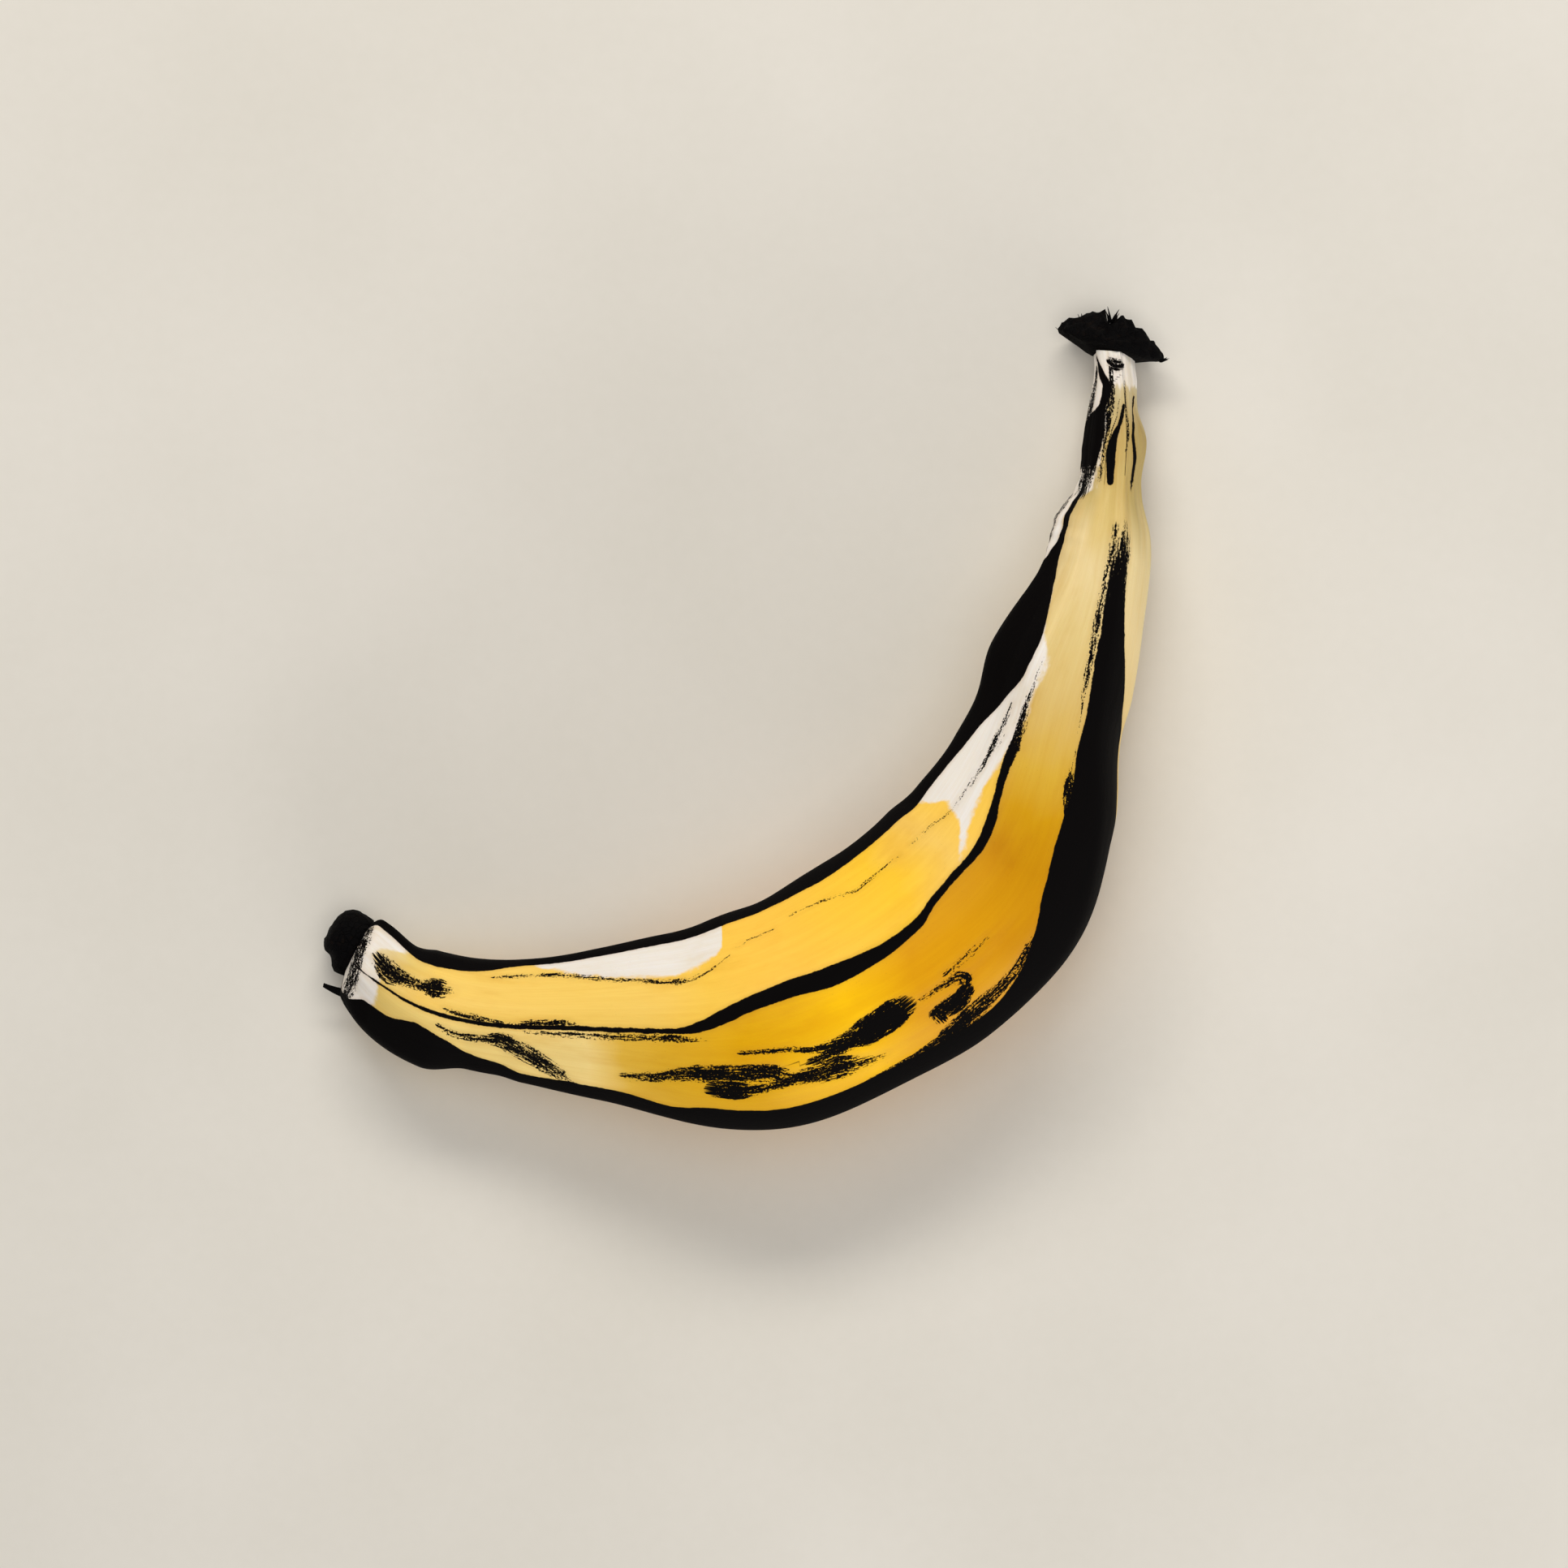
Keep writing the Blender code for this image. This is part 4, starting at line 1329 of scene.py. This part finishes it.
# %% Spin and tear the crown
crown = spun(CROWN_PROFILE, CROWN_STEPS)
for corner in crown.verts:
    spot = corner.co.copy()
    outer = Vector((spot.x, spot.y, 0.0))
    rim_share = min(outer.length / CROWN_RADIUS, 1.0)
    tear = noise.noise(spot / TEAR_SIZE + Vector((2.0, 5.0, 1.0)))
    chunk = noise.noise(spot / CHUNK_SIZE + Vector((9.0, 2.0, 3.0)))
    torn_face = max(spot.z / TORN_HEIGHT, 0.0)
    lift = BLUNTNESS * max(-spot.x / CROWN_RADIUS, 0.0) ** 2
    for across, spread, height in (HUMP, SPLIT):
        lift += height * bell(spot.x / MM, across, spread)
    if outer.length > 0.0:
        corner.co += outer.normalized() * rim_share * 0.5 * (tear + chunk) * MM
    corner.co.z += ((lift + 0.9 * tear) * torn_face + 0.5 * chunk + 0.15 * tear) * MM + CROWN_RISE
crown_end = across_end(STEM_END + 0.5 * CROWN_LENGTH, CROWN_HEIGHT, CROWN_LEAN)
carry(crown, crown_end, CROWN_THICKNESS / CROWN_WIDTH)
finish_piece(crown, "torn_crown")

# %% [markdown]
# ## Loose fibres
#
# Torn ends always leave fibres standing. Each is one small cone that is bent and tapered,
# and they are made together as one piece. Most stand on the torn face of the crown, a few
# on the blossom end, and one long black strip of skin curls away beside it. A seeded
# random number gives each its length, its lean and its bend.

# %% One fibre
FIBRE_STEPS = 5
FIBRE_SIDES = 5
dice = random.Random(7)
fibres = bmesh.new()


def add_fibre(root, aim, bend, length, radius, tip_share=0.12):
    """Adds one tapering fibre that leaves root towards aim and bends on its way."""
    one = bmesh.new()
    bmesh.ops.create_cone(
        one,
        cap_ends=True,
        segments=FIBRE_SIDES,
        radius1=radius,
        radius2=radius * tip_share,
        depth=length,
    )
    lengthwise = [e for e in one.edges if abs(e.verts[0].co.z - e.verts[1].co.z) > length / 2]
    bmesh.ops.subdivide_edges(one, edges=lengthwise, cuts=FIBRE_STEPS, use_grid_fill=True)
    turn = aim.to_track_quat("Z", "Y").to_matrix()
    for corner in one.verts:
        share = corner.co.z / length + 0.5
        corner.co.z += length / 2
        corner.co = root + turn @ corner.co + bend * share**2
    shape = bpy.data.meshes.new("fibre")
    one.to_mesh(shape)
    one.free()
    fibres.from_mesh(shape)
    bpy.data.meshes.remove(shape)


# %% Stand them on the crown
# The crown's torn face falls away to its edge at about this height over its middle.
FACE_EDGE = 5.8
# Clumps on the crown: across and along it in millimetres, how many, how long, how far aslant.
CLUMPS = (
    (-5.2, 2.6, 7, 1.9, -0.3), (-0.7, 4.2, 8, 2.3, -0.1), (0.4, 4.4, 5, 1.4, 0.6),
    (3.0, 3.6, 5, 1.1, 0.4), (6.0, 2.1, 6, 1.2, 0.7), (8.2, 0.2, 5, 1.5, 1.6),
    (-8.2, 0.4, 4, 1.3, -1.6), (-2.6, 3.8, 5, 1.3, 0.1),
)
middle, outward, upward, forward = crown_end
for across, along, count, length, slant in CLUMPS:
    for _ in range(count):
        lift = dice.uniform(-2.6, 3.4)
        shrink = math.sqrt(max(1.0 - (lift / FACE_EDGE) ** 2, 0.1))
        off = outward * across * shrink + forward * (along * shrink - 0.5) + upward * lift
        root = middle + (off + outward * dice.uniform(-0.5, 0.5)) * MM
        aim = forward + outward * (slant + dice.uniform(-0.35, 0.35)) + upward * dice.uniform(-0.3, 0.3)
        bend = (outward * dice.uniform(-0.5, 0.5) + upward * dice.uniform(-0.3, 0.3)) * MM
        grown = length * dice.uniform(0.6, 1.1)
        add_fibre(root, aim, bend, grown * MM, dice.uniform(0.16, 0.34) * MM)

# %% Stand them on the blossom end
CAP_FIBRES = 9
CAP_FIBRE_RING = 4.6
middle, outward, upward, forward = cap_end
for _ in range(CAP_FIBRES):
    turn = dice.uniform(0.15, 0.85) * math.pi
    rim = outward * math.cos(turn) + upward * math.sin(turn)
    root = middle + rim * CAP_FIBRE_RING * MM + forward * dice.uniform(4.8, 6.0) * MM
    aim = rim * 0.35 - forward * dice.uniform(-0.9, 0.4)
    add_fibre(root, aim, rim * 0.3 * MM, dice.uniform(0.7, 1.2) * MM, dice.uniform(0.12, 0.22) * MM)

# The strip of skin that curls away: its root outward and forward of the cap's middle.
TAIL_ROOT = (8.1, 7.8)
TAIL_LENGTH, TAIL_RADIUS, TAIL_TIP_SHARE = 4.7, 0.9, 0.4
tail_root = middle + (outward * TAIL_ROOT[0] + forward * TAIL_ROOT[1]) * MM
tail_aim = -forward + outward * 0.25
add_fibre(tail_root, tail_aim, -outward * 0.6 * MM, TAIL_LENGTH * MM, TAIL_RADIUS * MM, TAIL_TIP_SHARE)
many_sided = [face for face in fibres.faces if len(face.verts) > 4]
bmesh.ops.triangulate(fibres, faces=many_sided)
finish_piece(fibres, "torn_fibres")
